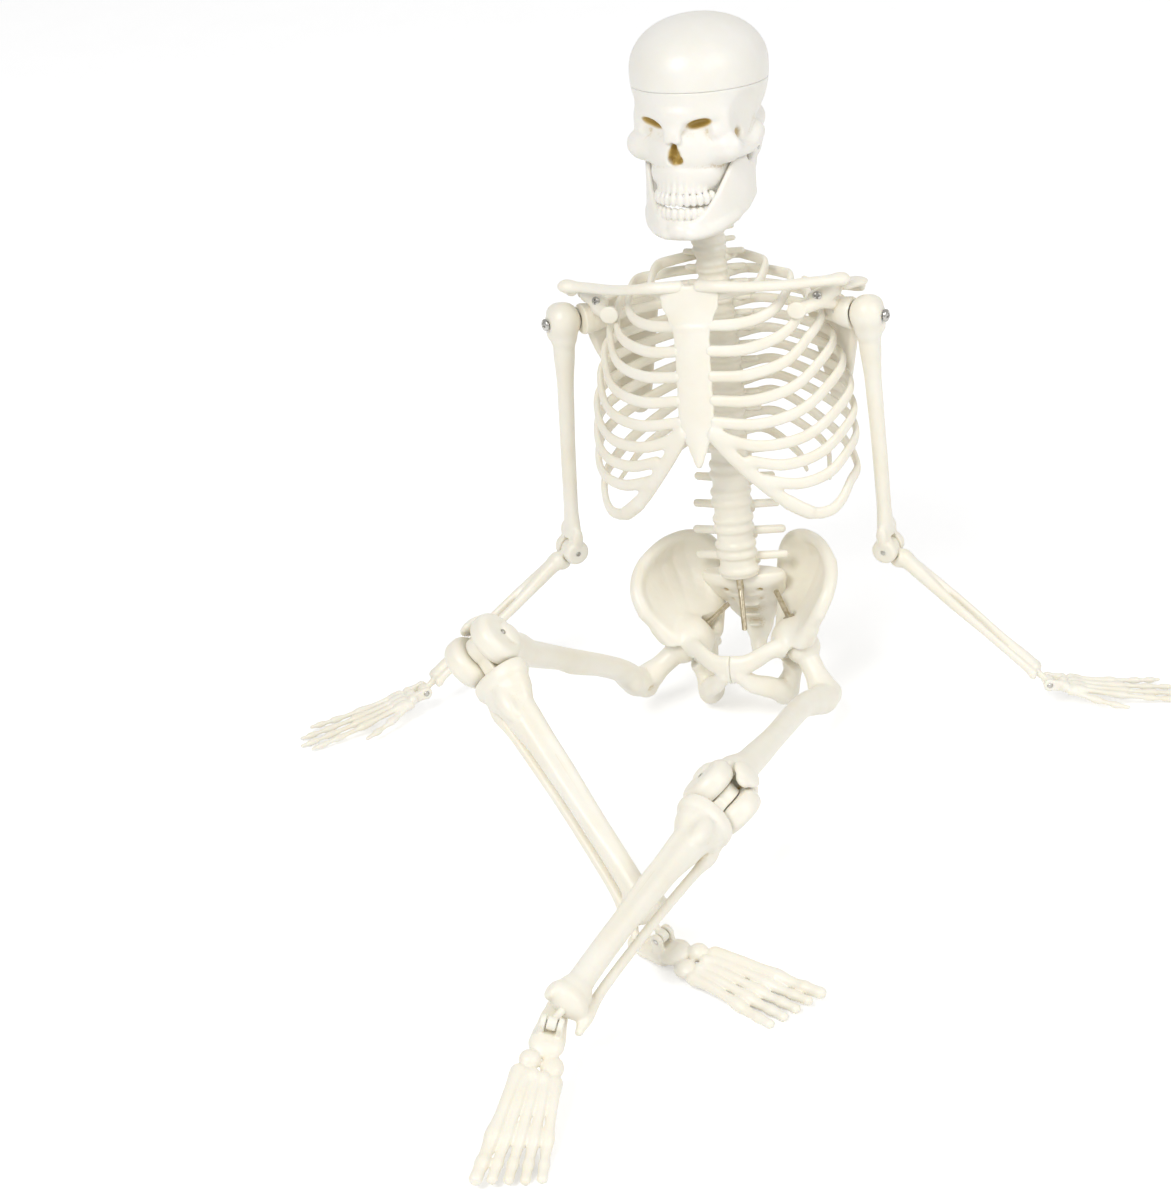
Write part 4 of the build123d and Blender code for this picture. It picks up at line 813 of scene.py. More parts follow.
def hip_bone_clay(stud_way):
    """Wing, crest, cup for the ball, and the pubic and sitting bones round their opening."""
    x0 = HIP_SPREAD / 2
    clay = Clay((0, -19, -23), (36, 27, 40), 0.95)
    rows = [
        [(12.0, 9.0, 2.5), (17.0, 2.0, 3.0), (21.0, -4.5, 3.0)],
        [(11.4, 15.0, 10.5), (19.5, 7.0, 11.0), (25.4, -6.8, 10.0)],
        [(10.8, 18.6, 19.0), (22.6, 12.0, 18.0), (29.0, -7.6, 15.5)],
        [(11.6, 19.0, 25.5), (25.0, 13.2, 25.0), (31.4, -3.6, 21.5)],
        [(14.4, 17.4, 29.6), (23.6, 13.0, 30.2), (30.6, 3.4, 26.4)],
    ]
    thick = [[3.4, 3.4, 3.4], [2.4, 1.4, 2.1], [2.2, 0.9, 1.7], [1.9, 0.9, 1.6], [1.6, 1.3, 1.5]]
    clay.add(curved_plate(rows, thick, 3), 1.0)
    crest = oval_run([(11.2, 18.2, 20.0), (11.8, 19.2, 26.0), (14.6, 17.8, 30.4), (20.0, 14.6, 32.2),
                      (26.4, 9.0, 30.6),
                      (31.0, 1.0, 25.8), (31.0, -5.6, 20.0), (28.4, -8.0, 14.4)],
                     [2.2, 1.9, 1.8, 1.7, 1.8, 1.9, 1.9, 1.9])
    clay.add(crest
             + oval_run([(28.4, -8.0, 14.0), (26.0, -6.8, 10.4), (24.6, -6.2, 7.6), (21.4, -5.0, 4.0)],
                        [1.9, 1.6, 2.2, 2.8])
             + oval_run([(11.2, 18.0, 20.0), (11.6, 15.6, 12.6), (12.6, 11.4, 5.0), (13.2, 8.8, -2.0),
                         (12.6, 7.0, -8.5)], [2.4, 2.8, 3.0, 2.5, 2.1]), 1.8)
    clay.add([egg((x0 - 3.2, 0.8, 2.0), (7.0, 7.8, 7.4))], 2.4)
    clay.add(oval_run([(x0 - 4.5, -3.6, 1.6), (11.6, -9.0, 1.9), (6.0, -12.8, -0.6), (-1.2, -14.0, -2.8)],
                      [(3.4, 3.4), (2.8, 2.2), (3.0, 2.1), (4.8, 2.2)], (0, 0, 1))
             + oval_run([(2.4, -13.4, -4.4), (5.8, -11.0, -8.2), (9.8, -6.0, -11.4), (12.0, 0.0, -15.2)],
                        [(2.6, 2.4), (3.1, 2.0), (3.5, 2.3), (3.8, 3.4)], (0, 0.5, 0.8))
             + oval_run([(12.4, 2.4, -15.2), (14.6, 3.6, -9.6), (x0 - 3.6, 2.6, -3.0)],
                        [(3.8, 4.4), (3.0, 3.6), (4.0, 4.6)], (1, 0, 0)), 1.8)
    clay.add([egg((12.2, 1.8, -15.6), (3.8, 4.8, 4.0)), egg((12.0, 12.4, -3.0), (1.3, 2.0, 1.5))], 1.6)
    clay.smooth()
    centre = vec(x0, 0, 0)
    clay.cut([egg(centre, [HIP_CUP_R] * 3), bore(centre, centre + stud_way * 30, CUP_MOUTH_R)], 1.2)
    clay.cut([bore(centre - stud_way * 30, centre, STUD_HOLE_R),
              bore(centre - stud_way * 30, centre - stud_way * 9.2, NUT_ROOM_R),
              slab((-9.98, 0, 0), (10, 60, 60), 0.02)], 0.2)
    return clay


def scapula_clay(screw_way):
    """Blade, spine, tip over the shoulder, and the hook in front."""
    x0, y0, z0 = SHOULDER_SPREAD / 2, SHOULDER_FORWARD, SHOULDER_HEIGHT
    clay = Clay((22, -5, 68), (50, 30, 120), 0.95)
    along = unit((-0.80, 0.60, 0.05))
    out = unit((0.60, 0.80, 0.12))
    out = unit(out - along * (out @ along))
    up = np.cross(out, along)
    origin = vec(x0 - 9.0, y0 + 8.5, z0 - 2.0)

    def at(u, v, w=0.0):
        return origin + along * u + up * v + out * w

    rows = [
        [at(3, 6), at(11, 7, 0.6), at(18.6, 8.0)], [at(-3, 3), at(8, 3, 1.2), at(19.6, 4)],
        [at(-2.6, -5), at(8, -5, 1.4), at(18.0, -5)], [at(1.6, -17), at(9, -17, 1.2), at(15.8, -17)],
        [at(6, -28), at(10, -28, 0.6), at(13.4, -28)], [at(8.6, -33), at(10.4, -33.4), at(12.0, -32.6)],
    ]
    thick = [[0.7, 0.6, 0.9], [1.2, 0.55, 0.9], [1.5, 0.55, 0.8], [1.3, 0.6, 0.8], [1.1, 0.8, 0.9],
             [1.1, 1.1, 1.1]]
    clay.add(curved_plate(rows, thick, 3), 0.6)
    clay.add(oval_run([at(18.8, 5.0, 0.8), at(12, 6, 1.8), at(5, 7.0, 2.9), at(-3, 8.5, 5.0)],
                      [(0.9, 0.7), (1.9, 0.75), (2.9, 0.8), (1.6, 2.4)], out)
             + oval_run([at(-2.0, 8.4, 5.0), (x0 - 6.0, y0 + 8.2, z0 + 8.4), (x0 - 2.6, y0 + 3.5, z0 + 9.2),
                         (x0 - 5.0, y0 - 3.0, z0 + 9.6)],
                        [(1.4, 1.9), (1.3, 2.8), (1.2, 2.9), (1.1, 1.6)], (0, 0, 1)), 1.2)
    clay.add(oval_run([(x0 - 13.5, y0 + 7.0, z0 - 0.5), (x0 - 5.4, y0 + 1.8, z0)], [(3.2, 2.8), (5.0, 4.4)],
                      (0, 0, 1))
             + oval_run([(x0 - 11.0, y0 + 3.0, z0 + 3.4), (x0 - 13.5, y0 - 4.5, z0 + 5.0),
                         (x0 - 18.6, y0 - 10.6, z0 + 4.4)], [2.4, 1.9, 2.0])
             + [egg((x0 - 19.0, y0 - 10.8, z0 + 4.4), (3.0, 2.5, 2.7))], 1.4)
    clay.add(oval_run([(x0 - 15.0, y0 - 4.0, z0 + 6.4), (x0 - 9.0, y0 - 1.0, z0 + 8.6)],
                      [(2.3, 2.0), (2.6, 2.0)], (0, 0, 1)), 1.4)
    clay.smooth()
    centre = vec(x0, y0, z0)
    clay.cut([egg(centre, [SHOULDER_CUP_R] * 3),
              bore(centre - screw_way * 4.9, centre + screw_way * 4.9, CUP_MOUTH_R)], 0.3)
    return clay


# =====================================================================================
# limbs
# =====================================================================================
def humerus_clay():
    """Upper arm bone: ball above, forked for the elbow below."""
    low = -HUMERUS
    clay = Clay((-8, -8, low - 5), (8, 8, 7), 1.0)
    clay.add(oval_run([(0, 0, 1.5), (0, 0, -4.0), (0, 0, -10.0), (0, 0, -24.0), (0, 0, 0.55 * low),
                       (0, 0.2, 0.80 * low), (0, 0.4, 0.92 * low), (0, 0, low + 1.0)],
                      [(4.4, 4.4), (4.6, 4.4), (3.5, 3.4), (2.7, 2.6), (2.4, 2.4), (2.8, 2.2), (4.0, 2.4),
                       (4.2, 2.9)]), 0.5)
    clay.add([egg((0, 0, 0), [BALL_R] * 3), egg((3.1, -0.6, 1.6), (2.4, 3.6, 3.4)),
              egg((0.6, -4.0, -2.4), (1.6, 1.5, 3.4)), egg((2.2, 0.2, -28.0), (1.1, 1.5, 6.0))], 1.2)
    clay.add(both([egg((4.2, 0.2, low + 5.4), (1.2, 1.8, 3.2))]), 1.2)
    clay.smooth()
    clay.add([wheel((0, 0, low), 4.0, 4.8, 1.3)], 0.6)
    clay.cut([egg((0, 3.4, low + 7.6), (2.2, 1.6, 2.6)), egg((0, -3.2, low + 7.0), (2.0, 1.2, 2.0))], 0.8)
    clay.cut([slab((0, 0, low - 0.7), (1.6, 9, 5.3), 0.05), bore((0, -20, 0), (0, 20, 0), SCREW_HOLE_R),
              bore((-9, 0, low), (9, 0, low), PIN_R)], 0.15)
    return clay


def radius_ulna_clay():
    """Both forearm bones, one mould, with the eye of the elbow."""
    low = -FOREARM
    clay = Clay((-6, -6, low + 2), (6.5, 6, 5), 0.95)
    clay.add(oval_run([(0.4, 0, -5.6), (0.3, 0, -10.0), (-1.1, 0, -24.0), (-1.6, 0, -44.0),
                       (-1.9, 0, low + 9.0), (-2.0, 0, low + 5.6)],
                      [(3.0, 2.8), (2.4, 2.3), (1.6, 1.7), (1.2, 1.3), (1.2, 1.3), (1.4, 1.5)]), 0.3)
    clay.add(oval_run([(1.4, 0, -6.0), (1.8, 0, -11.0), (2.2, -0.2, -26.0), (1.9, 0, -44.0),
                       (1.3, 0, low + 9.0), (0.8, 0, low + 6.4)],
                      [(2.4, 2.5), (1.7, 1.9), (1.5, 1.7), (1.5, 1.7), (2.3, 2.2), (2.6, 2.2)]), 0.35)
    clay.cut([egg((0.35, 0, -33.0), (0.55, 4.0, 9.0))], 0.6)
    clay.add([egg((-0.4, 2.2, -5.0), (1.9, 1.4, 2.3)), egg((-3.0, 0.4, low + 5.0), (0.7, 0.9, 1.2)),
              egg((3.1, 0, low + 6.2), (0.9, 1.3, 1.8))], 0.9)
    clay.smooth()
    clay.cut([wheel((3.2, 0, 0), 4.3, 1.9, 0.1), wheel((-3.2, 0, 0), 4.3, 1.9, 0.1)], 0.2)
    clay.add([wheel((0, 0, 0), 3.4, 1.3, 0.3), slab((0, 0, -2.9), (1.3, 2.0, 2.4), 0.3)], 0.3)
    clay.cut([bore((-9, 0, 0), (9, 0, 0), EYE_R)], 0.1)
    return clay


def link_clay(rise, tip, axle):
    """Flexible neck that ends in an eye for the wrist or ankle pin."""
    tip, axle = vec(*tip), unit(vec(*axle))
    clay = Clay(tip - 4, tip + vec(4, 4, rise + 4), 0.7)
    clay.add(oval_run([tip + vec(0, 0, rise), tip + vec(0, 0, rise * 0.5), tip + vec(0, 0, 1.0)],
                      [1.5, 1.0, 1.1]), 0.3)
    clay.add([wheel(tip, 1.8, 1.3, 0.3, axle)], 0.4)
    clay.cut([bore(tip - axle * 4, tip + axle * 4, EYE_R)], 0.1)
    return clay


def fork(clay, deep):
    """Two cheeks that the pin of the wrist or the ankle goes through."""
    for x in (-2.35, 2.35):
        clay.add([wheel((x, 0, 0), 2.0, 0.75, 0.3), slab((x, 0, -2.2), (0.75, deep, 2.2), 0.3)], 0.4)


def digit(start, end, root, shares, arch=0.6):
    """Finger or toe: slim shanks between rounded knuckles."""
    start, end = vec(*start), vec(*end)
    points, sizes = [], []
    for k in range(len(shares) - 1):
        a, b = shares[k], shares[k + 1]
        for share, swell in ((a + 0.02, 1.0), (a + 0.30 * (b - a), 0.66), (a + 0.65 * (b - a), 0.64),
                             (b - 0.03, 0.96)):
            points.append(start + (end - start) * share + vec(0, -arch * sin(pi * share), 0))
            r = root * swell * (1 - 0.34 * share)
            sizes.append((r, r * 0.88))
    sizes[-1] = (sizes[-1][0] * 0.72, sizes[-1][1] * 0.6)
    return oval_run(points, sizes, (1, 0, 0), 3)


def hand_clay():
    """Wrist bones, five fingers and the fork of the wrist."""
    clay = Clay((-10, -4.5, -HAND - 1), (13, 4, 4), 0.8)
    clay.add([egg((-2.6, 0, -4.6), (1.8, 1.9, 1.7)), egg((0.2, 0.2, -4.4), (2.0, 2.0, 1.7)),
              egg((2.8, 0, -4.8), (1.8, 1.8, 1.7)),
              egg((-3.2, 0, -7.6), (1.7, 1.6, 1.8)), egg((-0.8, 0, -7.9), (1.5, 1.7, 1.9)),
              egg((1.4, 0, -7.8), (1.4, 1.6, 1.8)),
              egg((3.4, -0.2, -7.6), (1.7, 1.5, 1.8)), egg((0, -0.3, -6.4), (3.8, 1.2, 2.8))], 0.5)
    tips = ((-6.9, 0.86), (-2.7, 0.97), (1.6, 1.0), (6.0, 0.95))
    for k, (x, share) in enumerate(tips):
        clay.add(digit((-3.5 + 2.35 * k, 0, -8.4), (x, -0.2, -HAND * share), 1.62,
                       (0.0, 0.42, 0.70, 0.87, 1.0)), 0.35)
    clay.add(digit((3.8, -0.6, -6.2), (11.2, -1.6, -HAND * 0.56), 1.75, (0.0, 0.44, 0.76, 1.0)), 0.35)
    clay.smooth()
    fork(clay, 1.7)
    clay.cut([slab((0, 0, 0), (1.6, 4, 2.6), 0.1), bore((-9, 0, 0), (9, 0, 0), PIN_R)], 0.1)
    return clay


def femur_clay():
    """Thigh bone: ball on a slanting neck, two knuckles forked for the knee."""
    low = -FEMUR
    a, t = NECK_ANGLE, NECK_TWIST
    way = vec(sin(a) * cos(t), sin(a) * sin(t), -cos(a))
    seat = way * 16.5
    clay = Clay((-11, -10, low - 9), (22, 11, 7), 1.0)
    clay.add(oval_run([(seat[0] + 0.8, seat[1], seat[2] + 1.0), (seat[0], seat[1], seat[2] - 4.5),
                       (seat[0] * 0.86, seat[1] * 0.8, seat[2] - 11.0),
                       (seat[0] * 0.62, seat[1] * 0.5, -30.0),
                       (seat[0] * 0.38, seat[1] * 0.2 - 0.4, 0.52 * low),
                       (seat[0] * 0.16, 0, 0.74 * low), (0, 0, 0.87 * low), (0, -0.4, low + 7.6)],
                      [(3.9, 4.2), (4.7, 4.7), (4.3, 4.3), (3.6, 3.6), (3.5, 3.6), (4.2, 3.9), (6.2, 4.8),
                       (8.0, 5.8)]), 0.6)
    clay.add(oval_run([way * 2.0, way * 8.5, way * 16.5], [3.6, 3.5, 4.7]) + [egg((0, 0, 0), [BALL_R] * 3)],
             0.9)
    clay.add([egg((seat[0] + 1.4, seat[1] + 0.4, seat[2] + 2.6), (3.2, 4.0, 4.4)),
              egg((seat[0] - 2.6, seat[1] + 3.2, -19.5), (2.1, 2.3, 2.8)),
              egg((seat[0] * 0.5, 3.4, -44.0), (0.9, 1.2, 18.0))], 1.8)
    clay.smooth()
    clay.cut([egg((seat[0] - 1.5, seat[1] + 4.6, seat[2] - 0.5), (2.4, 1.6, 2.6))], 1.4)
    clay.add(both([wheel((5.65, 0.2, low), 8.1, 3.45, 2.6), egg((9.0, 0.6, low + 3.6), (1.2, 3.6, 3.4))])
             + [slab((0, -3.0, low + 5.6), (7.0, 4.2, 3.2), 2.4)], 1.6)
    clay.cut([egg((0, -9.4, low + 1.5), (2.2, 2.4, 9.0))], 1.6)
    clay.cut([slab((0, 0, low - 2.1), (2.2, 12, 7.95), 0.3)], 0.3)
    clay.cut([bore((-12, 0, low), (12, 0, low), PIN_R), bore(way * -20, way * 12.0, BOLT_R)], 0.1)
    return clay


def patella_clay():
    """Kneecap, fixed to the thigh bone."""
    clay = Clay((-6, -12, -FEMUR - 3), (6, -5, -FEMUR + 10), 0.9)
    clay.add([egg((0, -8.9, 3.8 - FEMUR), (4.7, 1.7, 4.6)), egg((0, -8.3, 1.0 - FEMUR), (2.6, 1.5, 3.0))],
             1.2)
    clay.smooth()
    return clay


def tibia_fibula_clay():
    """Both shin bones, one mould, with the eye of the knee."""
    low = -TIBIA
    end = low + 7.4
    clay = Clay((-10, -9, low + 2), (11.5, 8, 6), 1.0)
    clay.add(oval_run([(0, 0.4, -11.0), (0, 0.2, -14.0), (0, -0.4, -22.0), (-1.0, -0.8, -38.0),
                       (-1.2, -0.7, 0.62 * low),
                       (-0.8, -0.2, 0.82 * low), (-0.3, 0, end + 5.0), (-0.4, 0, end + 1.6)],
                      [(8.4, 6.0), (7.8, 5.9), (5.3, 4.8), (4.2, 4.2), (3.6, 3.7), (3.7, 3.6), (5.1, 4.2),
                       (5.7, 3.9)]), 0.6)
    clay.add([drum((0, 0.4, -10.6), 8.9, 6.6, 2.0, 1.2), egg((0, -5.4, -19.5), (2.6, 2.0, 5.0)),
              drum((-0.3, 0, end + 1.5), 5.9, 4.1, 1.5, 1.0),
              egg((-5.2, 0, end + 0.6), (1.5, 2.9, 3.0))], 1.8)
    clay.cut([egg((0, 5.8, -15.6), (4.0, 2.2, 4.0)), egg((-4.6, -4.4, -44.0), (1.8, 2.4, 26.0))], 2.0)
    clay.add(oval_run([(7.4, 2.0, -13.6), (7.7, 2.2, -18.0), (7.1, 2.0, -27.0), (6.0, 1.6, -50.0),
                       (5.7, 1.2, 0.78 * low), (6.6, 0.8, end + 3.0), (7.4, 0.6, end - 2.6)],
                      [(1.9, 1.9), (2.3, 2.4), (1.5, 1.6), (1.4, 1.5), (1.5, 1.6), (2.0, 2.2), (1.2, 1.4)]),
             0.9)
    clay.smooth()
    clay.cut([slab((0, 0, -4.25), (12, 12, 4.25), 0.1)], 0.2)
    clay.cut([egg((4.6, 0.4, -8.6), (3.0, 3.6, 0.7)), egg((-4.6, 0.4, -8.6), (3.0, 3.6, 0.7))], 0.6)
    clay.add([wheel((0, 0, 0), 4.9, 1.9, 0.3), slab((0, 0, -5.4), (1.9, 3.2, 4.6), 0.3)], 0.3)
    clay.cut([bore((-12, 0, 0), (12, 0, 0), KNEE_EYE_R)], 0.1)
    return clay


def foot_clay():
    """Heel, arch, five toes and the fork of the ankle."""
    clay = Clay((-11, -FOOT - 1, -10.2), (12, 15, 3), 0.8)
    clay.add(oval_run([(-0.4, 11.6, -7.2), (-0.2, 6.4, -7.0), (0, -1.0, -6.2)],
                      [(2.9, 2.2), (3.9, 2.3), (4.8, 2.8)])
             + [egg((0, -3.4, -4.8), (4.9, 4.6, 2.4)), egg((-3.0, -9.5, -5.0), (3.0, 3.0, 2.5)),
                egg((3.2, -9.5, -6.0), (3.2, 3.6, 2.3)),
                egg((-4.6, -14.0, -5.6), (2.3, 2.6, 2.2)), egg((-1.2, -14.0, -5.3), (2.0, 2.4, 2.1)),
                egg((1.8, -14.0, -5.7), (2.0, 2.4, 2.0)), egg((4.8, -14.0, -6.4), (2.3, 2.8, 1.9))], 1.2)
    for k in range(5):
        share = 0.97 - 0.025 * k - 0.01 * (k > 3)
        start = (-4.9 + 2.55 * k, -14.0, -5.5 - 0.2 * k)
        end = (-7.4 + 4.1 * k, -FOOT * share, -7.6)
        root = 2.5 if k == 0 else 2.0
        points, sizes = [], []
        for s, swell in ((0, 0.95), (0.18, 0.78), (0.42, 0.74), (0.58, 1.06), (0.68, 0.86), (0.76, 0.80),
                         (0.82, 0.98), (0.90, 0.84), (0.97, 0.92)):
            at = vec(*start) + (vec(*end) - vec(*start)) * s
            at[2] += 0.9 * sin(pi * min(1, s / 0.6)) - 0.3 * (s > 0.6)
            points.append(at)
            r = root * swell * (1 - 0.2 * s)
            sizes.append((r, r * 0.95))
        clay.add(oval_run(points, sizes, (1, 0, 0), 3), 0.45)
    clay.cut([slab((0, -20, -11.6), (30, 60, 2.4), 0.3)], 0.4)
    clay.smooth()
    fork(clay, 1.9)
    clay.cut([slab((0, 0, 0.2), (1.6, 4, 2.8), 0.1), bore((-9, 0, 0), (9, 0, 0), PIN_R)], 0.1)
    return clay


# =====================================================================================
# finishes
# =====================================================================================
def tone(text):
    """sRGB hex to linear red, green, blue, alpha."""
    parts = [int(text[k:k + 2], 16) / 255 for k in (1, 3, 5)]
    return tuple(p / 12.92 if p < 0.04045 else ((p + 0.055) / 1.055) ** 2.4 for p in parts) + (1.0,)


def add_node(tree, kind, settings=None, links=None):
    """One shader node: settings are attributes or input values, links are (input, socket)."""
    node = tree.nodes.new(kind)
    for name, value in (settings or {}).items():
        if isinstance(name, str) and hasattr(node, name) and name not in node.inputs:
            setattr(node, name, value)
        else:
            node.inputs[name].default_value = value
    for name, socket in (links or {}).items():
        tree.links.new(socket, node.inputs[name])
    return node


def new_material(name):
    """Empty node tree under a new name."""
    material = bpy.data.materials.new(name)
    material.use_nodes = True
    material.node_tree.nodes.clear()
    return material, material.node_tree


def noise(tree, place, grain, detail, **more):
    """Cloudy noise in the piece's own coordinates, its grain in metres."""
    return add_node(tree, "ShaderNodeTexNoise", {"Scale": 1 / grain, "Detail": detail, **more},
                    {"Vector": place.outputs["Object"]}).outputs["Fac"]


def spread(tree, value, settings):
    """A value mapped to a new range."""
    return add_node(tree, "ShaderNodeMapRange", settings, {"Value": value}).outputs[0]


def moulded_vinyl(name, pale, warm, deep):
    """Soft PVC from a polished steel mould: waxy gloss, and painted shade in a deeper colour in the hollows.
    """
    material, tree = new_material(name)
    place = add_node(tree, "ShaderNodeTexCoord")
    clouds = spread(tree, noise(tree, place, 0.014, 3.0, Roughness=0.55),
                    {"From Min": 0.35, "From Max": 0.75})
    # painted shade: the hollow attribute mixes the deep colour into recesses
    hollow = add_node(tree, "ShaderNodeAttribute", {"attribute_name": "hollow"})
    painted_shade_share = spread(tree, hollow.outputs["Fac"],
                    {"From Min": 0.20, "From Max": 0.85, "interpolation_type": "SMOOTHSTEP"})
    base = add_node(tree, "ShaderNodeMix", {"data_type": "RGBA"}, {0: clouds})
    base.inputs[6].default_value, base.inputs[7].default_value = tone(pale), tone(warm)
    painted_shade_colour = add_node(tree, "ShaderNodeMix", {"data_type": "RGBA"}, {0: painted_shade_share, 6: base.outputs[2]})
    painted_shade_colour.inputs[7].default_value = tone(deep)
    ripple = noise(tree, place, 0.0035, 2.0)
    pores = noise(tree, place, 0.0007, 1.0)
    bump_a = add_node(tree, "ShaderNodeBump", {"Strength": 0.25, "Distance": 0.0004}, {"Height": ripple})
    bump_b = add_node(tree, "ShaderNodeBump", {"Strength": 0.12, "Distance": 0.0001},
                      {"Height": pores, "Normal": bump_a.outputs["Normal"]})
    gloss = spread(tree, ripple, {"To Min": 0.30, "To Max": 0.42})
    shader = add_node(tree, "ShaderNodeBsdfPrincipled",
                      {"IOR": 1.53, "Subsurface Weight": 0.25, "Subsurface Scale": 0.0012},
                      {"Base Color": painted_shade_colour.outputs[2], "Roughness": gloss,
                       "Normal": bump_b.outputs["Normal"]})
    shader.inputs["Subsurface Radius"].default_value = (1.0, 0.75, 0.45)
    add_node(tree, "ShaderNodeOutputMaterial", links={"Surface": shader.outputs["BSDF"]})
    return material


def turned_metal(name, face, shade, rough):
    """Small cold-headed or turned fastener: a fine grain bump and a little tarnish."""
    material, tree = new_material(name)
    place = add_node(tree, "ShaderNodeTexCoord")
    smut = noise(tree, place, 0.0012, 4.0)
    mask = spread(tree, smut, {"From Min": 0.4, "From Max": 0.75})
    colour = add_node(tree, "ShaderNodeMix", {"data_type": "RGBA"}, {0: mask})
    colour.inputs[6].default_value, colour.inputs[7].default_value = tone(face), tone(shade)
    grain = noise(tree, place, 0.0002, 1.0)
    bump = add_node(tree, "ShaderNodeBump", {"Strength": 0.15, "Distance": 0.00005}, {"Height": grain})
    gloss = spread(tree, smut, {"To Min": rough, "To Max": rough + 0.16})
    shader = add_node(tree, "ShaderNodeBsdfPrincipled", {"Metallic": 1.0},
                      {"Base Color": colour.outputs[2], "Roughness": gloss, "Normal": bump.outputs["Normal"]})
    add_node(tree, "ShaderNodeOutputMaterial", links={"Surface": shader.outputs["BSDF"]})
    return material


# open face, cloudier face, and the colour of the painted shade in hollows
VINYL = moulded_vinyl("moulded_ivory_vinyl", "#F6F2E6", "#F2ECDB",
                      "#CDB77C")  # warm ivory, straw-coloured painted shade in the hollows
SKULL_VINYL = moulded_vinyl("moulded_pale_vinyl", "#F3F0E9", "#EFECE2",
                            "#BFA35C")  # paler, ochre painted shade in the sockets
# bright face, tarnish, and roughness
NICKEL = turned_metal("nickel_plated_steel", "#C9C8C4", "#A9A59C", 0.22)  # cool bright plating
BRASS = turned_metal("nickel_washed_brass", "#CFC6B2", "#A8997A",
                     0.26)  # the brass shows warm through a thin wash


# =====================================================================================
# hardware
# =====================================================================================
def frame_at(origin, way):
    """Axes with Z along way, in the row frame's millimetres."""
    way = Vector(way).normalized()
    side = Vector((1, 0, 0)) if abs(way.x) < 0.8 else Vector((0, 1, 0))
    return axes(Vector(origin), side, way)


def fastener(name, solids, place, body, material, nodes=()):
    """One metal piece; solids is a list of (maker, sizes...)."""
    bm = bmesh.new()
    for maker, *sizes in solids:
        maker(bm, *sizes)
    bmesh.ops.recalc_face_normals(bm, faces=bm.faces)
    bm.transform(TO_ROW @ place)
    mesh = bpy.data.meshes.new(name)
    bm.to_mesh(mesh)
    bm.free()
    for polygon in mesh.polygons:
        polygon.use_smooth = True
    mesh.set_sharp_from_angle(angle=SHARP_EDGE)
    finish_piece(name, mesh, material, body, nodes)


def ring_of(bm, radius, height, sides):
    """Corners of a level ring; radius may be a function of the corner's number."""
    reach = radius if callable(radius) else lambda k: radius
    return [bm.verts.new((reach(k) * cos(2 * pi * k / sides), reach(k) * sin(2 * pi * k / sides), height))
            for k in range(sides)]


def skin(bm, rings):
    """Four-sided faces between each ring and the next."""
    for low, high in zip(rings, rings[1:]):
        for k in range(len(low)):
            n = (k + 1) % len(low)
            bm.faces.new((low[k], low[n], high[n], high[k]))


def cap_ends(bm, rings):
    """Flat faces over the first ring and the last."""
    bm.faces.new(rings[0][::-1])
    bm.faces.new(rings[-1])


def lathe(bm, profile, sides=32):
    """Turned solid: profile is (radius, height) from the bottom centre to the top centre."""
    rings = []
    for radius, height in profile:
        if radius < 1e-6:
            rings.append([bm.verts.new((0, 0, height))])
        else:
            rings.append(ring_of(bm, radius, height, sides))
    for low, high in zip(rings, rings[1:]):
        for k in range(sides):
            n = (k + 1) % sides
            ring = [low[k % len(low)], low[n % len(low)], high[n % len(high)], high[k % len(high)]]
            corners = []
            for corner in ring:
                if corner not in corners:
                    corners.append(corner)
            if len(corners) > 2:
                bm.faces.new(corners)


def threaded_rod(bm, start, end, radius=BOLT_R, pitch=0.4, depth=0.12, sides=24):
    """Screw thread as a rolled surface: a ridge that climbs round the bar, with chamfered ends."""
    steps = max(8, int((end - start) / pitch * 6))
    rings = []
    for s in range(steps + 1):
        z = start + (end - start) * s / steps
        edge = min(1.0, min(s, steps - s) / 3)

        def reach(k):
            phase = ((z / pitch) - k / sides) % 1.0
            return radius - depth * abs(2 * phase - 1) - 0.25 * (1 - edge)

        rings.append(ring_of(bm, reach, z, sides))
    skin(bm, rings)
    cap_ends(bm, rings)


def hex_nut(bm, low, high, flats=NUT_FLATS, hole=NUT_HOLE, chamfer=0.25, sides=24):
    """Nut with chamfered corners and a plain bore."""
    def outer(shrink):
        def reach(k):
            a = 2 * pi * k / sides
            corner = flats / 2 / cos((a + pi / 6) % (pi / 3) - pi / 6)
            return min(corner, flats / 2 * shrink)
        return reach

    levels = ((low, 1.04), (low + chamfer, 1.16), (high - chamfer, 1.16), (high, 1.04))
    rings = [ring_of(bm, outer(shrink), z, sides) for z, shrink in levels]
    rings += [ring_of(bm, hole, z, sides) for z in (high, low)]
    skin(bm, rings + rings[:1])


def cross_head_screw(bm, seat, tip):
    """Domed head with a cross recess over a plain shank."""
    sides, shank, radius, high, rim = 48, 1.0, 1.95, 1.3, 0.45
    slot_reach, slot_half, slot_deep = 1.25, 0.24, 0.75
    levels = [(shank, tip), (shank, seat), (radius, seat), (radius, seat + rim)]
    for k in range(1, 8):
        a = radians(11 * k)
        levels.append((radius * cos(a) * 0.98, seat + rim + (high - 0.5) * sin(a)))
    levels.append((0.34, seat + high - 0.06))
    rings = [ring_of(bm, r, z, sides) for r, z in levels]
    skin(bm, rings)
    cap_ends(bm, rings)
    for vertex in bm.verts:
        r = (vertex.co.x ** 2 + vertex.co.y ** 2) ** 0.5
        in_slot = min(abs(vertex.co.x), abs(vertex.co.y)) < slot_half
        if vertex.co.z > seat + 0.5 and r < slot_reach and in_slot:
            vertex.co.z -= slot_deep * (1 - 0.35 * r / slot_reach)


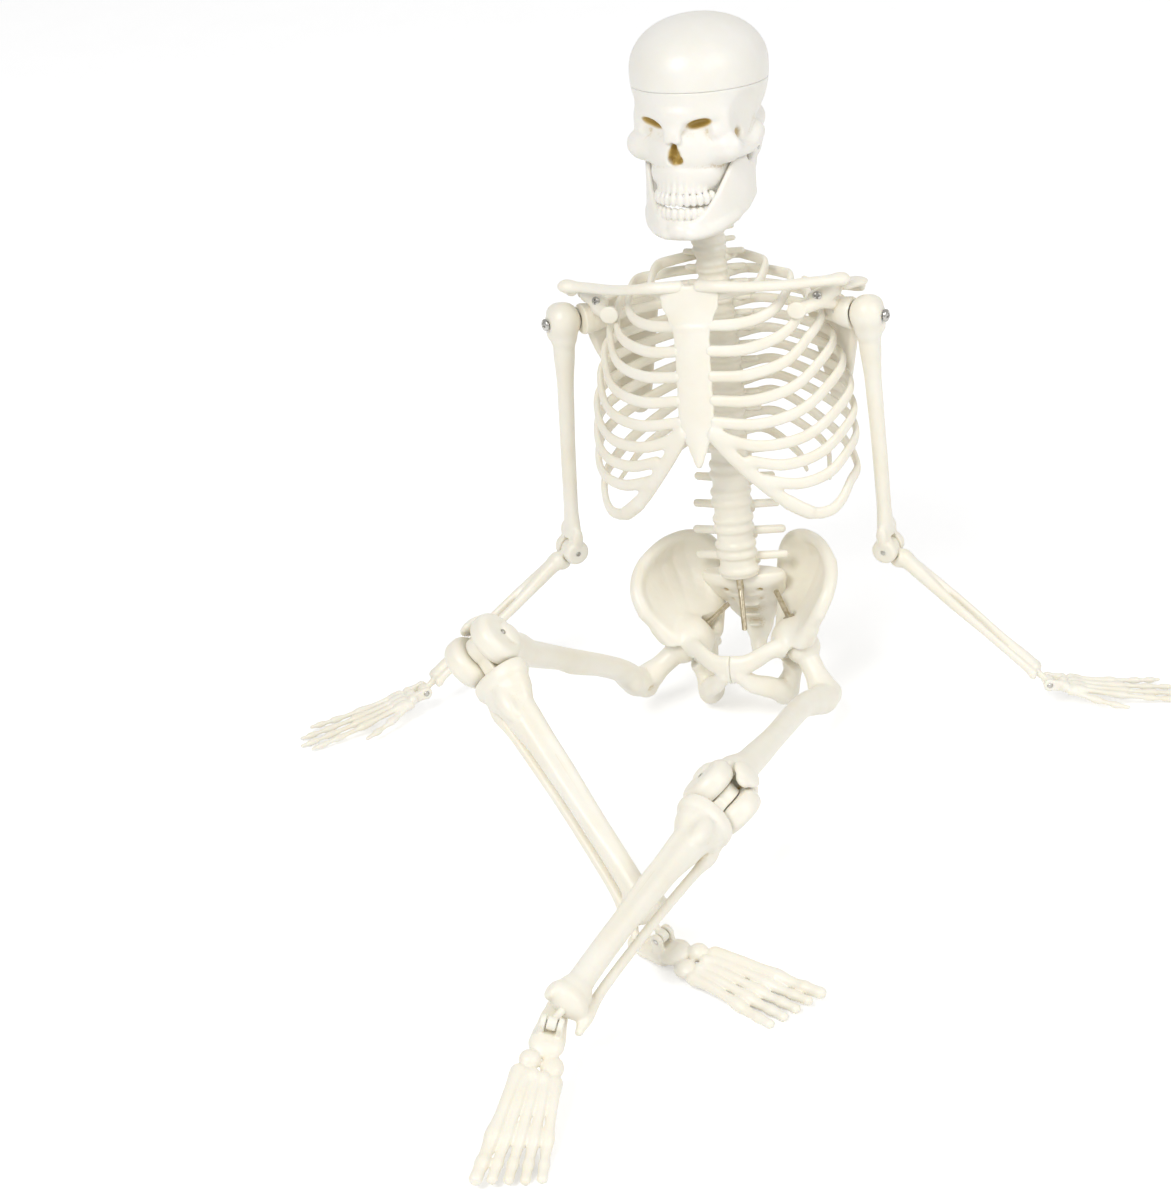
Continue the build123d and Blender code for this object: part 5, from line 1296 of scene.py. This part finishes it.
def pin_piece(name, place, half, body, node):
    """Headless pin, broken edges, lying along the joint's axis."""
    edge = 0.15
    profile = ((0, -half), (PIN_R - edge, -half), (PIN_R, edge - half), (PIN_R, half - edge),
               (PIN_R - edge, half), (0, half))
    fastener(name, [(lathe, profile)], place @ turn(90, "Y"), body, NICKEL, (node,))


# =====================================================================================
# the pieces in their places
# =====================================================================================
for bone, clay, place, body, material, slot_name in (
    ("cranium", cranium_clay, HEAD, "head", SKULL_VINYL, "skull"),
    ("skull_cap", skull_cap_clay, HEAD, "cap", SKULL_VINYL, "skull"),
    ("mandible", mandible_clay, HEAD, "jaw", SKULL_VINYL, "skull"),
    ("vertebral_column", column_clay, TRUNK, "trunk", VINYL, "bone"),
    ("sternum", sternum_clay, TRUNK, "trunk", VINYL, "bone"),
    ("sacrum", sacrum_clay, TRUNK, "trunk", VINYL, "bone"),
):
    moulding(f"{bone}_moulding", clay().fire(), place, 1, body, material, (bone,))

# bones that are one mould for both sides: clay, place and body
PAIRED = {
    "ribs": (ribs_clay, "trunk", "trunk"), "floating_ribs": (floating_ribs_clay, "trunk", "trunk"),
    "clavicle": (clavicle_clay, "trunk", "trunk"), "humerus": (humerus_clay, "humerus", "upper_arm"),
    "radius_ulna": (radius_ulna_clay, "forearm", "forearm"), "hand": (hand_clay, "hand", "hand"),
    "femur": (femur_clay, "femur", "thigh"), "patella": (patella_clay, "femur", "thigh"),
    "tibia_fibula": (tibia_fibula_clay, "shin", "shin"), "foot": (foot_clay, "foot", "foot"),
}
FIRED = {bone: clay().fire() for bone, (clay, seat, body) in PAIRED.items()}
# joint pins: place, distance along the bone, half length, body
PINS = {
    "elbow": ("humerus", HUMERUS, 4.8, "upper_arm"), "knee": ("femur", FEMUR, 9.3, "thigh"),
    "wrist": ("hand", 0, 3.1, "hand"), "ankle": ("foot", 0, 3.1, "foot"),
}


def local_way(place, way):
    """A direction of the row frame, seen from a place."""
    return np.array(place.to_3x3().inverted() @ Vector(way))


for side, sign in SIDES.items():
    for bone, (clay, seat, body) in PAIRED.items():
        place = PLACE[seat] if seat == "trunk" else PLACE[f"{seat}_{side}"]
        body = body if body == "trunk" else f"{body}_{side}"
        moulding(f"{bone}_{side}_moulding", FIRED[bone], place, sign, body, VINYL,
                 (f"{bone}_{side}",))
    stud = local_way(TRUNK, STUD_WAY[side]) * vec(sign, 1, 1)
    screw = local_way(TRUNK, SCREW_WAY[side]) * vec(sign, 1, 1)
    moulding(f"hip_bone_{side}_moulding", hip_bone_clay(stud).fire(), TRUNK, sign, "trunk", VINYL,
             (f"hip_bone_{side}",))
    moulding(f"scapula_{side}_moulding", scapula_clay(screw).fire(), TRUNK, sign, "trunk", VINYL,
             (f"scapula_{side}",))
    for upper, lower, rise in (("forearm", "hand", 6.0), ("shin", "foot", 8.4)):
        above = PLACE[f"{upper}_{side}"]
        below = PLACE[f"{lower}_{side}"]
        tip = above.inverted() @ below.translation
        axle = above.to_3x3().inverted() @ (below.to_3x3() @ Vector((1, 0, 0)))
        moulding(f"{upper}_{side}_link", link_clay(rise, tip, axle).fire(), above, 1, f"{upper}_{side}",
                 VINYL, ())
    for joint, (seat, drop, half, body) in PINS.items():
        place = PLACE[f"{seat}_{side}"] @ Matrix.Translation((0, 0, -drop))
        pin_piece(f"{joint}_pin_{side}_turned", place, half, f"{body}_{side}", f"{joint}_pin_{side}")
    shoulder = frame_at(PLACE[f"humerus_{side}"].translation, SCREW_WAY[side])
    fastener(f"shoulder_screw_{side}_headed", [(cross_head_screw, 5.8, -11.0)], shoulder, "trunk", NICKEL,
             (f"shoulder_screw_{side}",))
    boss = Vector((sign * (SHOULDER_SPREAD / 2 - 13.6), SHOULDER_FORWARD - 5.6, SHOULDER_HEIGHT + 7.6))
    facing = TRUNK.to_3x3() @ Vector((sign * 0.25, -0.93, 0.1)).normalized()
    fastener(f"clavicle_screw_{side}_headed", [(cross_head_screw, 0.0, -3.0)],
             frame_at(TRUNK @ boss, facing) @ Matrix.Scale(0.72, 4), "trunk", NICKEL)
    hip = frame_at(PLACE[f"femur_{side}"].translation, STUD_WAY[side])
    fastener(f"hip_stud_{side}_rolled", [(threaded_rod, -20.0, 12.0)], hip, f"thigh_{side}", BRASS,
             (f"hip_stud_{side}",))
    fastener(f"hip_nut_{side}_cut", [(hex_nut, -10.76, -9.26)], hip, f"thigh_{side}", BRASS,
             (f"hip_nut_{side}",))

STAND_COLLAR = ((0, 17.8), (1.0, 17.8), (1.15, 17.95), (1.15, 36.0), (0, 36.0))
JAW_PIN = ((0, 11.2), (0.7, 11.2), (0.7, 17.4), (1.0, 17.6), (0.9, 18.0), (0.5, 18.2), (0, 18.2))
stand_place, neck_place = TRUNK @ Matrix.Translation(STAND_BOLT_AT), HEAD @ Matrix.Translation(NECK_BOLT_AT)
fastener("stand_bolt_rolled", [(threaded_rod, 3.8, 17.9), (lathe, STAND_COLLAR)], stand_place, "trunk",
         BRASS, ("stand_bolt",))
fastener("neck_bolt_rolled", [(threaded_rod, -15.0, 2.7)], neck_place, "trunk", BRASS,
         ("neck_bolt",))
fastener("neck_nut_cut", [(hex_nut, 0.36, 1.86)], neck_place, "trunk", BRASS, ("neck_nut",))
for side, sign in SIDES.items():
    fastener(f"jaw_pin_{side}_headed", [(lathe, JAW_PIN)],
             HEAD @ Matrix.Translation(JAW_AXIS) @ turn(90 * sign, "Y"),
             "head", NICKEL, ("jaw_pins",))


# =====================================================================================
# studio
# =====================================================================================
def either(tree, first, second):
    """The greater of two ray flags."""
    return add_node(tree, "ShaderNodeMath", {"operation": "MAXIMUM"}, {0: first, 1: second}).outputs[0]


def studio_floor():
    """Matt white sweep: plain paper that takes only the figure's soft shadow."""
    material, tree = new_material("white_paper_sweep")
    path = add_node(tree, "ShaderNodeLightPath")
    fibre = add_node(tree, "ShaderNodeTexNoise", {"Scale": 220.0, "Detail": 2.0})
    shade = add_node(tree, "ShaderNodeMapRange", {"To Min": 0.90, "To Max": 0.93},
                     {"Value": fibre.outputs["Fac"]})
    paper = add_node(tree, "ShaderNodeBsdfDiffuse", links={"Color": shade.outputs[0]})
    glow = add_node(tree, "ShaderNodeEmission", {"Strength": 0.36})
    seen = either(tree, path.outputs["Is Camera Ray"], path.outputs["Is Glossy Ray"])
    lift = add_node(tree, "ShaderNodeAddShader", links={0: paper.outputs[0], 1: glow.outputs[0]})
    mix = add_node(tree, "ShaderNodeMixShader", links={0: seen, 1: paper.outputs[0], 2: lift.outputs[0]})
    add_node(tree, "ShaderNodeOutputMaterial", links={"Surface": mix.outputs[0]})
    mesh = bpy.data.meshes.new("paper_floor")
    size, back, rise = 3.0, 1.6, 0.6
    bend = [(back + rise * sin(pi / 12 * k), rise - rise * cos(pi / 12 * k)) for k in range(1, 7)]
    profile = [(-size, 0), (back, 0)] + bend + [(back + rise, size)]
    points = [(x, y, z) for x in (-size, size) for y, z in profile]
    half = len(points) // 2
    faces = [(k, k + 1, half + k + 1, half + k) for k in range(half - 1)]
    mesh.from_pydata(points, [], [face[::-1] for face in faces])
    mesh.polygons.foreach_set("use_smooth", [True] * len(faces))
    floor = bpy.data.objects.new("paper_floor", mesh)
    floor.location.z = -0.0001  # just clear of the soles
    bpy.context.scene.collection.objects.link(floor)
    mesh.materials.append(material)


def studio_world():
    """Even white tent, brighter to the eye than to the pieces."""
    world = bpy.data.worlds.new("overcast_tent")
    bpy.context.scene.world = world
    world.use_nodes = True
    tree = world.node_tree
    tree.nodes.clear()
    path = add_node(tree, "ShaderNodeLightPath")
    seen = either(tree, path.outputs["Is Camera Ray"], path.outputs["Is Transmission Ray"])
    glow = add_node(tree, "ShaderNodeBackground",
                    links={"Strength": spread(tree, seen, {"To Min": 0.62, "To Max": 1.0})})
    add_node(tree, "ShaderNodeOutputWorld", links={"Surface": glow.outputs[0]})


def soft_lamp(name, place, size, power, target=(0, 0, 0.1)):
    """Round softbox turned towards the figure."""
    data = bpy.data.lights.new(name, "AREA")
    data.shape, data.size, data.energy = "DISK", size, power
    lamp = bpy.data.objects.new(name, data)
    lamp.location = place
    lamp.rotation_euler = (Vector(target) - Vector(place)).to_track_quat("-Z", "Y").to_euler()
    bpy.context.scene.collection.objects.link(lamp)


def studio_camera():
    """A long lens from in front, 27 degrees above the floor, a little rolled."""
    distance, target = 1000.0, Vector((0, -10, 70))
    roll, rise = radians(4.0), radians(27.0)
    wide, tall, centre_x, centre_y = 1171.0, 1200.0, 746.0, 590.0  # frame and lens centre, from its top left
    right, up, back = Vector((1, 0, 0)), Vector((0, sin(rise), cos(rise))), Vector((0, -cos(rise), sin(rise)))
    x = right * cos(roll) - up * sin(roll)
    y = right * sin(roll) + up * cos(roll)
    matrix = Matrix((x, y, back)).transposed().to_4x4()
    matrix.translation = TO_ROW @ (target + back * distance)
    data = bpy.data.cameras.new("studio_camera")
    data.sensor_fit, data.sensor_height, data.sensor_width, data.lens = "VERTICAL", 36.0, 36.0, 102.0
    data.shift_x, data.shift_y = (wide / 2 - centre_x) / tall, (centre_y - tall / 2) / tall
    data.clip_start, data.clip_end = 0.05, 20.0
    camera = bpy.data.objects.new("studio_camera", data)
    camera.matrix_world = matrix
    bpy.context.scene.collection.objects.link(camera)
    bpy.context.scene.camera = camera


studio_floor()
studio_world()
soft_lamp("key_softbox", (-0.55, -0.9, 1.2), size=0.7, power=10.4)
soft_lamp("fill_softbox", (1.0, -0.6, 0.9), size=0.9, power=6.0)
studio_camera()
bpy.context.scene.view_settings.view_transform = "Standard"
